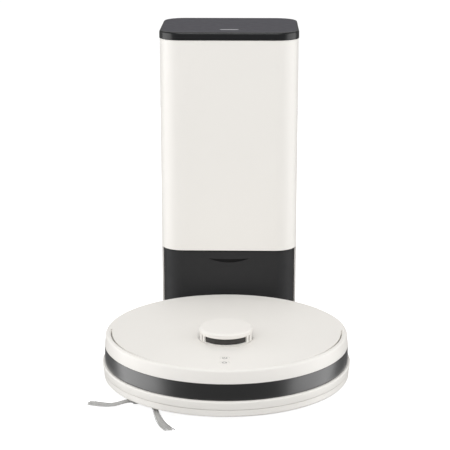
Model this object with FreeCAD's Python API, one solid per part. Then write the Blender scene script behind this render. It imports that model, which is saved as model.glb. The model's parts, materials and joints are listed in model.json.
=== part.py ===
"""Robot vacuum parked at its self-emptying station.

Millimetres, +Z up.  The origin is the middle of the station's underside, on the floor; the station's
front, and the robot in front of it, face -Y.  Robot parts are drawn about the robot's own centre and
moved to the docked place as they are saved.
"""
import FreeCAD
import Part
import math
import os

# ---------------------------------------------------------------- driving dimensions
# Station
STATION_W = 207.8
STATION_D = 180.6
STATION_H = 469.0
CORNER_R = 34.0
LID_H = 11.4
LID_GAP = 0.6              # shadow gap under the lid
LID_OVERHANG = 0.8         # the lid stands proud of the body by this
SHELL_WALL = 2.6
PANEL_INSET = 3.8          # the dark lower panel lies this far inside the white body
FRONT_COVER_Z = 137.8      # bottom edge of the white front cover
BASE_H = 8.0
TRAY_H = 4.0               # tongue of the base that reaches under the robot
TRAY_W = 190.0
TRAY_REACH = 126.0         # from the dark panel's front to the tongue's front edge
# Robot
ROBOT_R = 175.0            # at the widest point of the skirt
DECK_Z = 73.0              # top of the cover
UNDERSIDE_Z = 11.0
SKIRT_SEAM_Z = 21.0        # seam between base pan and bumper
BAND_Z0 = 33.2
BAND_Z1 = 56.4
RIM_Z = 75.0               # crest of the bumper's rim
DOCK_GAP = 7.0             # robot's back to the front of the station's body
TURRET_X = 0.0
TURRET_Y = -33.0
TURRET_R = 37.0
TURRET_H = 90.0
WHEEL_R = 30.0
WHEEL_W = 22.0
WHEEL_TRACK = 236.0
WHEEL_Y = 10.0
SIDE_BRUSH_X = -101.0
SIDE_BRUSH_Y = -108.0
SIDE_BRUSH_R = 88.0
BRUSH_L = 138.0
BRUSH_R = 23.0
BRUSH_Y = 5.0
BRUSH_Z = 24.0
CASTER_Y = -136.5
CASTER_R = 10.5

# Clearances
RUN = 0.05                 # radial, round every turning shaft
BODY_GAP = 0.4             # between pieces that move past each other
SEAM = 0.3                 # between pieces that are fixed beside each other
BUMPER_TRAVEL = 3.5
BUTTON_TRAVEL = 0.8

# ---------------------------------------------------------------- derived places
ROBOT_Y = -STATION_D / 2 + 0.3 - DOCK_GAP - ROBOT_R
BAND_R = ROBOT_R - 3.7     # dark band round the side
BODY_W = STATION_W - 2 * LID_OVERHANG
BODY_D = STATION_D - 2 * LID_OVERHANG
BODY_R = CORNER_R - LID_OVERHANG
LID_Z0 = STATION_H - LID_H
BODY_Z1 = LID_Z0 - LID_GAP
PANEL_Y = -BODY_D / 2 + PANEL_INSET


# ---------------------------------------------------------------- shape helpers
def vec(x, y, z):
    return FreeCAD.Vector(x, y, z)


def box(x0, x1, y0, y1, z0, z1):
    return Part.makeBox(x1 - x0, y1 - y0, z1 - z0, vec(x0, y0, z0))


def post(r, z0, z1, x=0.0, y=0.0):
    return Part.makeCylinder(r, z1 - z0, vec(x, y, z0))


def ring(r_out, r_in, z0, z1, x=0.0, y=0.0):
    return post(r_out, z0, z1, x, y).cut(post(r_in, z0, z1, x, y))


def rod_x(r, x0, x1, y, z):
    return Part.makeCylinder(r, x1 - x0, vec(x0, y, z), vec(1, 0, 0))


def rod_y(r, y0, y1, x, z):
    return Part.makeCylinder(r, y1 - y0, vec(x, y0, z), vec(0, 1, 0))


def join(shapes):
    whole = shapes[0]
    for shape in shapes[1:]:
        whole = whole.fuse(shape)
    return whole.removeSplitter()


def mirror_x(shape):
    return shape.mirror(vec(0, 0, 0), vec(1, 0, 0))


def both_sides(shape):
    return [shape, mirror_x(shape)]


def rounded_wire(points, place):
    """Closed wire through (u, v, corner radius) points; place puts (u, v) in space."""
    corners = []
    for i, (u, v, r) in enumerate(points):
        here = FreeCAD.Vector(u, v, 0)
        before = FreeCAD.Vector(points[i - 1][0], points[i - 1][1], 0) - here
        after_point = points[(i + 1) % len(points)]
        after = FreeCAD.Vector(after_point[0], after_point[1], 0) - here
        before.normalize()
        after.normalize()
        if r <= 0:
            corners.append((here, here, here))
            continue
        half = before.getAngle(after) / 2
        middle = before + after
        middle.normalize()
        reach = r / math.tan(half)
        crown = here + middle * (r / math.sin(half) - r)
        corners.append((here + before * reach, crown, here + after * reach))
    edges = []
    for i, (start, crown, end) in enumerate(corners):
        start, crown, end = [place(p.x, p.y) for p in (start, crown, end)]
        if start.distanceToPoint(end) > 1e-6:
            edges.append(Part.Arc(start, crown, end).toShape())
        following = corners[(i + 1) % len(corners)][0]
        following = place(following.x, following.y)
        if end.distanceToPoint(following) > 1e-6:
            edges.append(Part.makeLine(end, following))
    return Part.Wire(edges)


def turned(points, x=0.0, y=0.0):
    """Solid of revolution about the vertical line at (x, y); points are (radius, z, corner radius)."""
    face = Part.Face(rounded_wire(points, lambda u, v: vec(x + u, y, v)))
    return face.revolve(vec(x, y, 0), vec(0, 0, 1), 360)


def plate(points, z0, z1):
    """Upright prism over an outline of (x, y, corner radius) points."""
    face = Part.Face(rounded_wire(points, lambda u, v: vec(u, v, z0)))
    return face.extrude(vec(0, 0, z1 - z0))


def slab(x0, x1, y0, y1, z0, z1, r):
    """Block with its upright edges rounded."""
    return plate([(x0, y0, r), (x1, y0, r), (x1, y1, r), (x0, y1, r)], z0, z1)


def body_slab(inset, z0, z1):
    """The station's plan outline, drawn in by inset."""
    half_w = BODY_W / 2 - inset
    half_d = BODY_D / 2 - inset
    return slab(-half_w, half_w, -half_d, half_d, z0, z1, max(BODY_R - inset, 2.0))


def round_edges(shape, radius, wanted):
    """Fillet the edges for which wanted(middle point of the edge) is true."""
    edges = [e for e in shape.Edges if wanted(e.CenterOfMass)]
    return shape.makeFillet(radius, edges)


def sector(r, start_deg, end_deg, z0, z1, x=0.0, y=0.0):
    """Pie slice; 0 degrees looks to -Y, the front, and angles grow towards +X."""
    wedge = Part.makeCylinder(r, z1 - z0, vec(0, 0, z0), vec(0, 0, 1), end_deg - start_deg)
    wedge.rotate(vec(0, 0, 0), vec(0, 0, 1), start_deg - 90)
    wedge.translate(vec(x, y, 0))
    return wedge


def save(name, shape):
    if isinstance(shape, list):
        shape = Part.makeCompound(shape)
    if not shape.isValid():
        print("not valid:", name)
    shape.exportStep("parts/" + name + ".step")


def save_on_robot(name, shape):
    if isinstance(shape, list):
        shape = Part.makeCompound(shape)
    shape.translate(vec(0, ROBOT_Y, 0))
    save(name, shape)


# ---------------------------------------------------------------- station: housing
FAR = 300.0                # reach of the cutting blocks
PANEL_FRONT_Y = -BODY_D / 2
SIDE_SPLIT_Y = -20.0       # seam between front cover and rear shell
LOWER_SPLIT_Y = PANEL_FRONT_Y + BODY_R + 2.0

PORT_HALF_W = 29.0         # dust port, the same opening through robot, gasket and dock
PORT_Z0 = 37.0
PORT_Z1 = 53.0
DUCT_WALL = 2.0
GASKET_WALL = 4.0

HINGE_Y = BODY_D / 2 - 3.5
HINGE_Z = BODY_Z1 + 4.6
HINGE_PIN_R = 1.5
HINGE_KNUCKLE_R = 4.0
HINGE_EAR_X = 58.0
HINGE_EAR_W = 8.0
HINGE_KNUCKLE_W = 10.0

CHAMBER_HALF_W = 78.0
CHAMBER_Y0 = -78.0
CHAMBER_Y1 = 38.0
CHAMBER_Z0 = 288.0
CHAMBER_WALL = 2.0
TOP_FRAME_H = 6.0

BAG_PORT_R = 17.0
BAG_PORT_Z = 385.0

DUCT_HALF_W = 22.0
DUCT_Y0 = 44.0
DUCT_Y1 = 78.0

FAN_Y = -22.0
FAN_R = 48.0
FAN_Z0 = 186.0

GRILLE_X0 = 30.0
GRILLE_X1 = 86.0
GRILLE_Z0 = 58.0
GRILLE_LEFT_Z0 = 80.0      # the left panel is shorter, above the power inlet
GRILLE_Z1 = 162.0
GRILLE_FRAME = 4.0
GRILLE_SLOT = 5.0
GRILLE_BAR = 3.0
REAR_CUT_Y = BODY_D / 2 - 9.5    # where cuts through the rear wall start

INLET_X = -56.0
INLET_Z = 30.0
INLET_HALF_W = 13.0
INLET_HALF_H = 9.0
SOCKET_HALF_W = 8.6
SOCKET_HALF_H = 4.4
SOCKET_DEEP = 11.0

SLOT_HALF_W = 31.0
SLOT_Z0 = 118.0
SLOT_Z1 = 126.0
SLOT_DEEP = 2.2
SLOT_END_DROP = 1.6        # the slot's ends lie this far below its top
SLOT_SAG = 2.6

FOOT_R = 9.0
FOOT_H = 1.6
FOOT_X = 78.0
FOOT_Y = 66.0
TRAY_FOOT_X = 70.0
SCREW_HEAD_R = 3.2
SCREW_SHANK_R = 1.4
SCREW_HEAD_H = 2.3

PIN_X = 30.0               # charging contacts, on the station and on the robot
PIN_Y = 140.0              # behind the robot's centre
PIN_R = 4.0
PIN_TOP = UNDERSIDE_Z - 0.7


def tray_front_y():
    return PANEL_Y - TRAY_REACH


def base_screw_places():
    return [(x, y) for x in (-56.0, 56.0) for y in (-66.0, 66.0)]


def foot_places():
    tower = [(x, y) for x in (-FOOT_X, FOOT_X) for y in (-FOOT_Y, FOOT_Y)]
    return tower + [(x, tray_front_y() + 24.0) for x in (-TRAY_FOOT_X, TRAY_FOOT_X)]


def station_base():
    tower = body_slab(PANEL_INSET + SHELL_WALL, 0, BASE_H)
    half = TRAY_W / 2
    tongue = slab(-half, half, tray_front_y(), -BODY_D / 2 + 40, 0, TRAY_H, 30.0)
    tongue = tongue.makeChamfer(2.5, [e for e in tongue.Edges
                                      if e.CenterOfMass.z > TRAY_H - 0.01 and e.CenterOfMass.y < -BODY_D / 2])
    base = join([tower, tongue])
    for x, y in foot_places():
        base = base.cut(post(FOOT_R, 0, FOOT_H, x, y))
    for x, y in base_screw_places():
        base = base.cut(post(SCREW_HEAD_R, 0, SCREW_HEAD_H + BASE_SCREW_SINK, x, y))
        base = base.cut(post(SCREW_SHANK_R, 0, BASE_H, x, y))
    for x in (-PIN_X, PIN_X):
        base = base.cut(post(PIN_R + 2.0, TRAY_H - 2.0, TRAY_H, x, ROBOT_Y + PIN_Y))
    return base


CROSS_HALF_L = 1.9
CROSS_HALF_W = 0.4
CROSS_DEEP = 1.2
BASE_SCREW_SINK = 0.6
SCREW_BITE = 4.0


def cross_recess(x, y, z0):
    """Both strokes of a cross recess, to cut from the screw head that starts at z0."""
    long, thin, z1 = CROSS_HALF_L, CROSS_HALF_W, z0 + CROSS_DEEP
    return join([box(x - long, x + long, y - thin, y + thin, z0, z1),
                 box(x - thin, x + thin, y - long, y + long, z0, z1)])


def station_screws():
    screws = []
    for x, y in base_screw_places():
        head = post(SCREW_HEAD_R, BASE_SCREW_SINK, SCREW_HEAD_H + BASE_SCREW_SINK, x, y)
        head = head.cut(cross_recess(x, y, BASE_SCREW_SINK))
        shank = post(SCREW_SHANK_R, SCREW_HEAD_H + BASE_SCREW_SINK, BASE_H + SCREW_BITE, x, y)
        screws.append(join([head, shank]))
    return screws


def rubber_feet():
    return [post(FOOT_R, 0, FOOT_H, x, y) for x, y in foot_places()]


def dock_panel():
    top = FRONT_COVER_Z
    shell = body_slab(PANEL_INSET, BASE_H, top).cut(body_slab(PANEL_INSET + 3.0, BASE_H, top))
    shell = shell.common(box(-FAR, FAR, -FAR, LOWER_SPLIT_Y + 14.0, 0, FAR))
    behind = box(-SLOT_HALF_W - 6, SLOT_HALF_W + 6, PANEL_Y + 2.0, PANEL_Y + SLOT_DEEP + 3.0,
                 SLOT_Z0 - 4, SLOT_Z1 + 4)
    shell = join([shell, behind])
    smile = signal_outline(PANEL_Y - 1, PANEL_Y + SLOT_DEEP)
    port = box(-PORT_HALF_W, PORT_HALF_W, PANEL_Y - 1, PANEL_Y + 4, PORT_Z0, PORT_Z1)
    return shell.cut(smile).cut(port)


def signal_outline(y0, y1):
    """Shallow smile: nearly flat on top, bowed along its lower edge, pointed at both ends."""
    left = vec(-SLOT_HALF_W, y0, SLOT_Z1 - SLOT_END_DROP)
    right = vec(SLOT_HALF_W, y0, SLOT_Z1 - SLOT_END_DROP)
    upper = Part.Arc(left, vec(0, y0, SLOT_Z1 - SLOT_SAG), right).toShape()
    lower = Part.Arc(right, vec(0, y0, SLOT_Z0), left).toShape()
    return Part.Face(Part.Wire([upper, lower])).extrude(vec(0, y1 - y0, 0))


def signal_window():
    return signal_outline(PANEL_Y + SLOT_DEEP - 1.0, PANEL_Y + SLOT_DEEP)


def front_cover():
    shell = body_slab(0, FRONT_COVER_Z, BODY_Z1).cut(body_slab(SHELL_WALL, FRONT_COVER_Z, BODY_Z1))
    sill = body_slab(0, FRONT_COVER_Z, FRONT_COVER_Z + SHELL_WALL)
    sill = sill.cut(body_slab(PANEL_INSET + 8.0, FRONT_COVER_Z, FRONT_COVER_Z + SHELL_WALL))
    cover = join([shell, sill]).common(box(-FAR, FAR, -FAR, SIDE_SPLIT_Y - SEAM / 2, 0, STATION_H))
    return round_edges(cover, 0.8, lambda p: p.z < FRONT_COVER_Z + 0.01
                       and p.y < SIDE_SPLIT_Y - 1 and on_outline(p))


def on_outline(p):
    """True for an edge's middle point that lies on the outside of the station's body."""
    dx = abs(p.x) - (BODY_W / 2 - BODY_R)
    dy = abs(p.y) - (BODY_D / 2 - BODY_R)
    if dx > 0 and dy > 0:
        # The centre of mass of a corner's arc lies inside the arc by up to a tenth of its radius.
        return BODY_R * 0.86 < math.hypot(dx, dy) < BODY_R * 1.02
    return abs(dx - BODY_R) < 0.01 or abs(dy - BODY_R) < 0.01


def rear_shell():
    shell = body_slab(0, TRAY_H / 2, BODY_Z1).cut(body_slab(SHELL_WALL, 0, BODY_Z1))
    above = box(-FAR, FAR, SIDE_SPLIT_Y + SEAM / 2, FAR, FRONT_COVER_Z - SEAM, STATION_H)
    below = box(-FAR, FAR, LOWER_SPLIT_Y, FAR, 0, FRONT_COVER_Z - SEAM)
    shell = join([shell.common(above), shell.common(below)])
    right = box(GRILLE_X0, GRILLE_X1, REAR_CUT_Y, FAR, GRILLE_Z0, GRILLE_Z1)
    left = box(-GRILLE_X1, -GRILLE_X0, REAR_CUT_Y, FAR, GRILLE_LEFT_Z0, GRILLE_Z1)
    inlet = box(INLET_X - INLET_HALF_W, INLET_X + INLET_HALF_W, REAR_CUT_Y, FAR,
                INLET_Z - INLET_HALF_H, INLET_Z + INLET_HALF_H)
    return shell.cut(right).cut(left).cut(inlet)


def exhaust_grille():
    """A slotted panel either side of the duct, bent with the shell round its corner."""
    panels = []
    for side, z0 in ((1, GRILLE_Z0), (-1, GRILLE_LEFT_Z0)):
        wall = body_slab(0, z0, GRILLE_Z1).cut(body_slab(SHELL_WALL, z0, GRILLE_Z1))
        panel = wall.common(box(GRILLE_X0, GRILLE_X1, REAR_CUT_Y, FAR, z0, GRILLE_Z1))
        count = int((GRILLE_Z1 - z0 - 2 * GRILLE_FRAME + GRILLE_BAR) / (GRILLE_SLOT + GRILLE_BAR))
        for i in range(count):
            slot_z = z0 + GRILLE_FRAME + i * (GRILLE_SLOT + GRILLE_BAR)
            panel = panel.cut(box(GRILLE_X0 + GRILLE_FRAME, GRILLE_X1 - GRILLE_FRAME, REAR_CUT_Y, FAR,
                                  slot_z, slot_z + GRILLE_SLOT))
        panels.append(panel if side > 0 else mirror_x(panel))
    return panels


FILTER_EDGE = 2.0
FILTER_DEEP = 9.0
FILTER_BEND = 5.0          # how far it reaches behind the bent end of the grille


def exhaust_filter():
    y1 = BODY_D / 2 - SHELL_WALL
    filters = []
    for side, z0 in ((1, GRILLE_Z0), (-1, GRILLE_LEFT_Z0)):
        block = box(GRILLE_X0 + FILTER_EDGE, BODY_W / 2 - BODY_R + FILTER_BEND, y1 - FILTER_DEEP, y1 - 0.5,
                    z0 + FILTER_EDGE, GRILLE_Z1 - FILTER_EDGE)
        filters.append(block if side > 0 else mirror_x(block))
    return filters


def power_inlet():
    y1 = BODY_D / 2
    block = box(INLET_X - INLET_HALF_W, INLET_X + INLET_HALF_W, y1 - 18, y1,
                INLET_Z - INLET_HALF_H, INLET_Z + INLET_HALF_H)
    socket = box(INLET_X - SOCKET_HALF_W, INLET_X + SOCKET_HALF_W, y1 - SOCKET_DEEP, y1,
                 INLET_Z - SOCKET_HALF_H, INLET_Z + SOCKET_HALF_H)
    socket = round_edges(socket, 3.4, lambda p: abs(p.y - (y1 - SOCKET_DEEP / 2)) < 0.01)
    pins = [rod_y(1.2, y1 - SOCKET_DEEP - 1, y1 - 2.0, INLET_X + dx, INLET_Z) for dx in (-4.3, 4.3)]
    return join([block.cut(socket)] + pins)


def suction_duct():
    """Runs back from the port at the dock, up behind the fan and forward into the bag's port."""
    neck = rod_y(BAG_PORT_R + DUCT_WALL, CHAMBER_Y1 + CHAMBER_WALL, DUCT_Y0 + 1, 0, BAG_PORT_Z)
    bore = rod_y(BAG_PORT_R, CHAMBER_Y1, DUCT_Y0 + 4, 0, BAG_PORT_Z)
    mouth = box(-PORT_HALF_W, PORT_HALF_W, PANEL_Y, PANEL_Y + 8, PORT_Z0, PORT_Z1)
    return join([duct_run(DUCT_WALL), neck]).cut(duct_run(0.0)).cut(bore).cut(mouth)


def duct_run(grow):
    """The duct's floor run and riser, grown outwards by a wall's thickness."""
    half_w = PORT_HALF_W + grow
    half_riser = DUCT_HALF_W + grow
    z0 = PORT_Z0 - grow
    floor_run = box(-half_w, half_w, PANEL_Y + 3.0, DUCT_Y1, z0, PORT_Z1 + grow)
    riser_top = BAG_PORT_Z + BAG_PORT_R + 5.0 + grow
    riser = box(-half_riser, half_riser, DUCT_Y0 - grow, DUCT_Y1 + grow, z0, riser_top)
    return join([floor_run, riser])


def bag_chamber():
    outer = slab(-CHAMBER_HALF_W, CHAMBER_HALF_W, CHAMBER_Y0, CHAMBER_Y1 + CHAMBER_WALL,
                 CHAMBER_Z0, BODY_Z1 - TOP_FRAME_H, 12.0)
    inner = slab(-CHAMBER_HALF_W + CHAMBER_WALL, CHAMBER_HALF_W - CHAMBER_WALL,
                 CHAMBER_Y0 + CHAMBER_WALL, CHAMBER_Y1, CHAMBER_Z0 + CHAMBER_WALL, BODY_Z1, 10.0)
    tub = outer.cut(inner).cut(rod_y(BAG_PORT_R, CHAMBER_Y1 - 1, CHAMBER_Y1 + 4, 0, BAG_PORT_Z))
    return tub.cut(post(22.0, CHAMBER_Z0 - 1, CHAMBER_Z0 + 4, 0, FAN_Y))


def dust_bag():
    gap = CHAMBER_WALL + 2.5
    return slab(-CHAMBER_HALF_W + gap, CHAMBER_HALF_W - gap, CHAMBER_Y0 + gap, CHAMBER_Y1 - 4.0,
                CHAMBER_Z0 + 8, BODY_Z1 - 22, 20.0)


CARD_HALF_W = 46.0
CARD_T = 2.8
CARD_GAP = 1.2             # from the chamber's back wall
CARD_DROP = 42.0           # below the port's axis


def bag_collar():
    y1 = CHAMBER_Y1 - CARD_GAP
    card = box(-CARD_HALF_W, CARD_HALF_W, y1 - CARD_T, y1, BAG_PORT_Z - CARD_DROP, BODY_Z1 - 12)
    return card.cut(rod_y(BAG_PORT_R, y1 - CARD_T - 1, y1 + 1, 0, BAG_PORT_Z))


FAN_CASE_H = 86.0
FAN_EDGE_R = 6.0
FAN_NECK_R = 24.0
FAN_MOUTH_R = 20.0
FAN_MOUTH_DEEP = 16.0


def station_fan():
    top = FAN_Z0 + FAN_CASE_H
    case = post(FAN_R, FAN_Z0, top, 0, FAN_Y)
    case = case.makeFillet(FAN_EDGE_R, [e for e in case.Edges if e.Length > FAN_R])
    neck = ring(FAN_NECK_R, FAN_MOUTH_R, top - FAN_EDGE_R, CHAMBER_Z0, 0, FAN_Y)
    mouth = post(FAN_MOUTH_R, top - FAN_MOUTH_DEEP, CHAMBER_Z0, 0, FAN_Y)
    return join([case.cut(mouth), neck])


BOARD_T = 1.6
SUPPLY_Y = 28.0                                       # component side of the power board
SUPPLY_SPAN = (-90.0, -34.0, 60.0, 168.0)             # x0, x1, z0, z1
SUPPLY_BLOCKS = [(-84.0, -56.0, 70.0, 100.0, 10.0),   # transformer: x0, x1, z0, z1, height
                 (-50.0, -38.0, 72.0, 98.0, 8.0),     # heat sink
                 (-84.0, -62.0, 112.0, 150.0, 6.0)]   # choke
CAPACITOR_R = 7.0
CAPACITOR_H = 16.0
CAPACITORS = [(-48.0, 118.0), (-48.0, 138.0)]


def power_board():
    x0, x1, z0, z1 = SUPPLY_SPAN
    pieces = [box(x0, x1, SUPPLY_Y, SUPPLY_Y + BOARD_T, z0, z1)]
    for x0, x1, z0, z1, height in SUPPLY_BLOCKS:
        pieces.append(box(x0, x1, SUPPLY_Y - height, SUPPLY_Y, z0, z1))
    pieces += [rod_y(CAPACITOR_R, SUPPLY_Y - CAPACITOR_H, SUPPLY_Y, x, z) for x, z in CAPACITORS]
    return join(pieces)


def top_frame():
    """Collar on top of the housing, with the ears that hold the lid's hinge pins."""
    z0 = BODY_Z1 - TOP_FRAME_H
    frame = body_slab(SHELL_WALL, z0, BODY_Z1)
    frame = frame.cut(slab(-CHAMBER_HALF_W + CHAMBER_WALL, CHAMBER_HALF_W - CHAMBER_WALL,
                           CHAMBER_Y0 + CHAMBER_WALL, CHAMBER_Y1, z0, BODY_Z1, 10.0))
    ears = []
    for side in (-1, 1):
        x0 = side * HINGE_EAR_X - HINGE_EAR_W / 2
        ear = join([rod_x(HINGE_KNUCKLE_R - 0.4, x0, x0 + HINGE_EAR_W, HINGE_Y, HINGE_Z),
                    box(x0, x0 + HINGE_EAR_W, HINGE_Y - 3.4, HINGE_Y + 0.8, BODY_Z1, HINGE_Z)])
        ears.append(ear)
    frame = join([frame] + ears)
    for side in (-1, 1):
        x0 = side * HINGE_EAR_X - HINGE_EAR_W / 2
        frame = frame.cut(rod_x(HINGE_PIN_R, x0 - 1, x0 + HINGE_EAR_W + 1, HINGE_Y, HINGE_Z))
    return frame


def hinge_pins():
    length = HINGE_EAR_W + 0.5 + HINGE_KNUCKLE_W
    x0 = HINGE_EAR_X - HINGE_EAR_W / 2
    return both_sides(rod_x(HINGE_PIN_R, x0, x0 + length, HINGE_Y, HINGE_Z))


def charging_pins():
    y = ROBOT_Y + PIN_Y
    plungers = []
    for x in (-PIN_X, PIN_X):
        flange = post(PIN_R + 2.0, TRAY_H - 2.0, TRAY_H + 0.8, x, y)
        tip = post(PIN_R, TRAY_H, PIN_TOP, x, y)
        tip = tip.makeFillet(1.5, [e for e in tip.Edges if abs(e.CenterOfMass.z - PIN_TOP) < 0.01])
        plungers.append(join([flange, tip]))
    return plungers


def port_gasket():
    g = GASKET_WALL
    block = box(-PORT_HALF_W - g, PORT_HALF_W + g, ROBOT_Y + BAND_R - 20, PANEL_Y, PORT_Z0 - g + 1.6,
                PORT_Z1 + g - 1.0)
    hole = box(-PORT_HALF_W, PORT_HALF_W, ROBOT_Y + BAND_R - 30, PANEL_Y + 1, PORT_Z0, PORT_Z1)
    behind_robot = post(BAND_R + BODY_GAP + 0.1, 0, STATION_H, 0, ROBOT_Y)
    return block.cut(hole).cut(behind_robot)


# ---------------------------------------------------------------- station: lid
LID_LIP_R = 3.0
LID_PANEL_INSET = 3.4
LID_PANEL_T = 1.0
LID_TOP_T = 2.6
LIGHT_HALF_L = 14.0
LIGHT_HALF_W = 4.0
LIGHT_Y = -56.0


def lid_slab(inset, z0, z1):
    half_w = STATION_W / 2 - inset
    half_d = STATION_D / 2 - inset
    return slab(-half_w, half_w, -half_d, half_d, z0, z1, CORNER_R - inset)


def station_lid():
    lid = lid_slab(0, LID_Z0, STATION_H)
    lid = lid.makeFillet(LID_LIP_R, [e for e in lid.Edges if e.CenterOfMass.z > STATION_H - 0.01])
    lid = lid.cut(lid_slab(SHELL_WALL, LID_Z0, STATION_H - LID_TOP_T - LID_PANEL_T))
    lid = lid.cut(lid_slab(LID_PANEL_INSET, STATION_H - LID_PANEL_T, STATION_H))
    rib = slab(-CHAMBER_HALF_W - 4, CHAMBER_HALF_W + 4, CHAMBER_Y0 - 4, CHAMBER_Y1 + 6,
               LID_Z0 + 2.4, STATION_H - LID_TOP_T - LID_PANEL_T, 14.0)
    rib = rib.cut(slab(-CHAMBER_HALF_W, CHAMBER_HALF_W, CHAMBER_Y0, CHAMBER_Y1 + 2,
                       LID_Z0, STATION_H, 10.0))
    lid = join([lid, rib])
    # The rear wall stops at the hinge line, so that it can swing down behind the body.
    lid = lid.cut(box(-FAR, FAR, HINGE_Y - 4.6, FAR, LID_Z0 - 1, HINGE_Z))
    knuckle_x0 = HINGE_EAR_X + HINGE_EAR_W / 2 + 0.5
    knuckle = join([rod_x(HINGE_KNUCKLE_R, knuckle_x0, knuckle_x0 + HINGE_KNUCKLE_W, HINGE_Y, HINGE_Z),
                    box(knuckle_x0, knuckle_x0 + HINGE_KNUCKLE_W, HINGE_Y - 3.6, HINGE_Y + 3.6,
                        HINGE_Z, STATION_H - LID_PANEL_T - 1.0)])
    lid = join([lid] + both_sides(knuckle))
    for x0 in (knuckle_x0 - 0.1, -knuckle_x0 - HINGE_KNUCKLE_W - 0.1):
        lid = lid.cut(rod_x(HINGE_PIN_R + RUN, x0, x0 + HINGE_KNUCKLE_W + 0.2, HINGE_Y, HINGE_Z))
    for x in (-HINGE_EAR_X, HINGE_EAR_X):
        lid = lid.cut(rod_x(HINGE_KNUCKLE_R + 0.3, x - HINGE_EAR_W / 2 - 0.5, x + HINGE_EAR_W / 2 + 0.5,
                            HINGE_Y, HINGE_Z))
    return lid


def light_outline(z0, z1):
    return slab(-LIGHT_HALF_L, LIGHT_HALF_L, LIGHT_Y - LIGHT_HALF_W, LIGHT_Y + LIGHT_HALF_W,
                z0, z1, LIGHT_HALF_W - 0.1)


def lid_top_panel():
    panel = lid_slab(LID_PANEL_INSET, STATION_H - LID_PANEL_T, STATION_H)
    return panel.cut(light_outline(STATION_H - 0.5, STATION_H + 1))


def lid_status_light():
    return light_outline(STATION_H - 0.5, STATION_H)


def lid_seal():
    z0 = BODY_Z1 + BODY_GAP
    seal = slab(-CHAMBER_HALF_W - 4, CHAMBER_HALF_W + 4, CHAMBER_Y0 - 4, CHAMBER_Y1 + 6,
                z0, LID_Z0 + 2.4, 14.0)
    return seal.cut(slab(-CHAMBER_HALF_W, CHAMBER_HALF_W, CHAMBER_Y0, CHAMBER_Y1 + 2,
                         z0, LID_Z0 + 2.4, 10.0))


# ---------------------------------------------------------------- robot: housing
PAN_R = ROBOT_R - 1.6
PAN_BOTTOM_R = PAN_R - 0.5
PAN_FLOOR = 2.5
PAN_Z1 = UNDERSIDE_Z + PAN_FLOOR
DECK_PLATE_Z0 = 62.0
DECK_PLATE_T = 2.5
BUMPER_INNER_R = BAND_R - 9.1
INNER_WALL_R = BUMPER_INNER_R - BUMPER_TRAVEL - 1.4
INNER_WALL_T = 2.6
COVER_PLAY = 0.8           # between cover and bumper at the sides, where the bumper slides past
COVER_FRONT_R = BUMPER_INNER_R - COVER_PLAY
COVER_FRONT_Y = BUMPER_TRAVEL + BODY_GAP - COVER_PLAY    # centre of the cover's front arc
COVER_REAR_R = BAND_R - 1.7
COVER_Z0 = 66.4
BUMPER_END_Y = -2.4        # the bumper's ends, just in front of the robot's middle
REAR_WALL_Y = BUMPER_END_Y + BUMPER_TRAVEL + 1.0
GROOVE_R = BAND_R - 1.9
BUMPER_Z0 = SKIRT_SEAM_Z + BODY_GAP

TUNNEL_HALF_W = BRUSH_L / 2 + 5.0
TUNNEL_Y0 = BRUSH_Y - 31.0
TUNNEL_Y1 = BRUSH_Y + 31.0
TUNNEL_Z1 = 52.0
TUNNEL_WALL = 2.0
MOUTH_HALF_W = TUNNEL_HALF_W - TUNNEL_WALL

MODULE_X0 = 84.2           # wheel module bay
MODULE_X1 = 131.5
MODULE_Y0 = -48.0
MODULE_Y1 = 44.0
MODULE_WALL = 1.7
PIVOT_Y = -38.0
PIVOT_Z = 27.0
PIVOT_R = 3.0
ARM_X0 = 88.4
ARM_X1 = 104.2
ARM_GEARBOX_R = 16.0
ARM_ROOT_R = 7.0
EAR_T = 3.5

CASTER_CUP_R = 15.0
CASTER_CUP_WALL = 2.4
CASTER_TRAIL = 3.0
CASTER_STEM_R = 4.0
CASTER_W = 9.0
FORK_Z0 = 22.6
FORK_Z1 = 25.6
CUP_ROOF_Z = 26.2

SHAFT_R = 4.0              # side brush and main brush drive shafts
HUB_R = 11.0
POST_R = 4.0

BIN_X = 70.0
BIN_Y0 = 62.0
BIN_Y1 = GROOVE_R - 17.4
BIN_Z0 = 14.2
BIN_Z1 = 60.6
BIN_WALL = 2.0
BIN_CORNER_R = GROOVE_R - 5.4
BIN_CLEAR = 1.0
BIN_INLET_HALF_W = 38.0    # from the brush tunnel into the bin
BIN_INLET_Z0 = 24.0
BIN_INLET_Z1 = 42.0

BUTTONS = {"power_button": -116.0, "home_button": -133.5}
BUTTON_R = 6.5
BUTTON_STEM_R = 2.5
BUTTON_CAP_T = 2.0


def robot_posts():
    return [(x * s, y) for x, y in ((70.0, -135.0), (135.0, -66.0), (84.0, 128.0)) for s in (-1, 1)]


def cliff_places():
    return [(-62.0, -148.0), (62.0, -148.0), (-140.0, -78.0), (140.0, -78.0)]


def cliff_slab(x, y, z0, z1, grow=0.0):
    pad = slab(-7.0 - grow, 7.0 + grow, -3.5 - grow, 3.5 + grow, z0, z1, 3.4)
    pad.rotate(vec(0, 0, 0), vec(0, 0, 1), math.degrees(math.atan2(y, x)) + 90)
    pad.translate(vec(x, y, 0))
    return pad


def charging_pad(x, z0, z1):
    return slab(x - 9.0, x + 9.0, PIN_Y - 6.0, PIN_Y + 6.0, z0, z1, 1.5)


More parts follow.
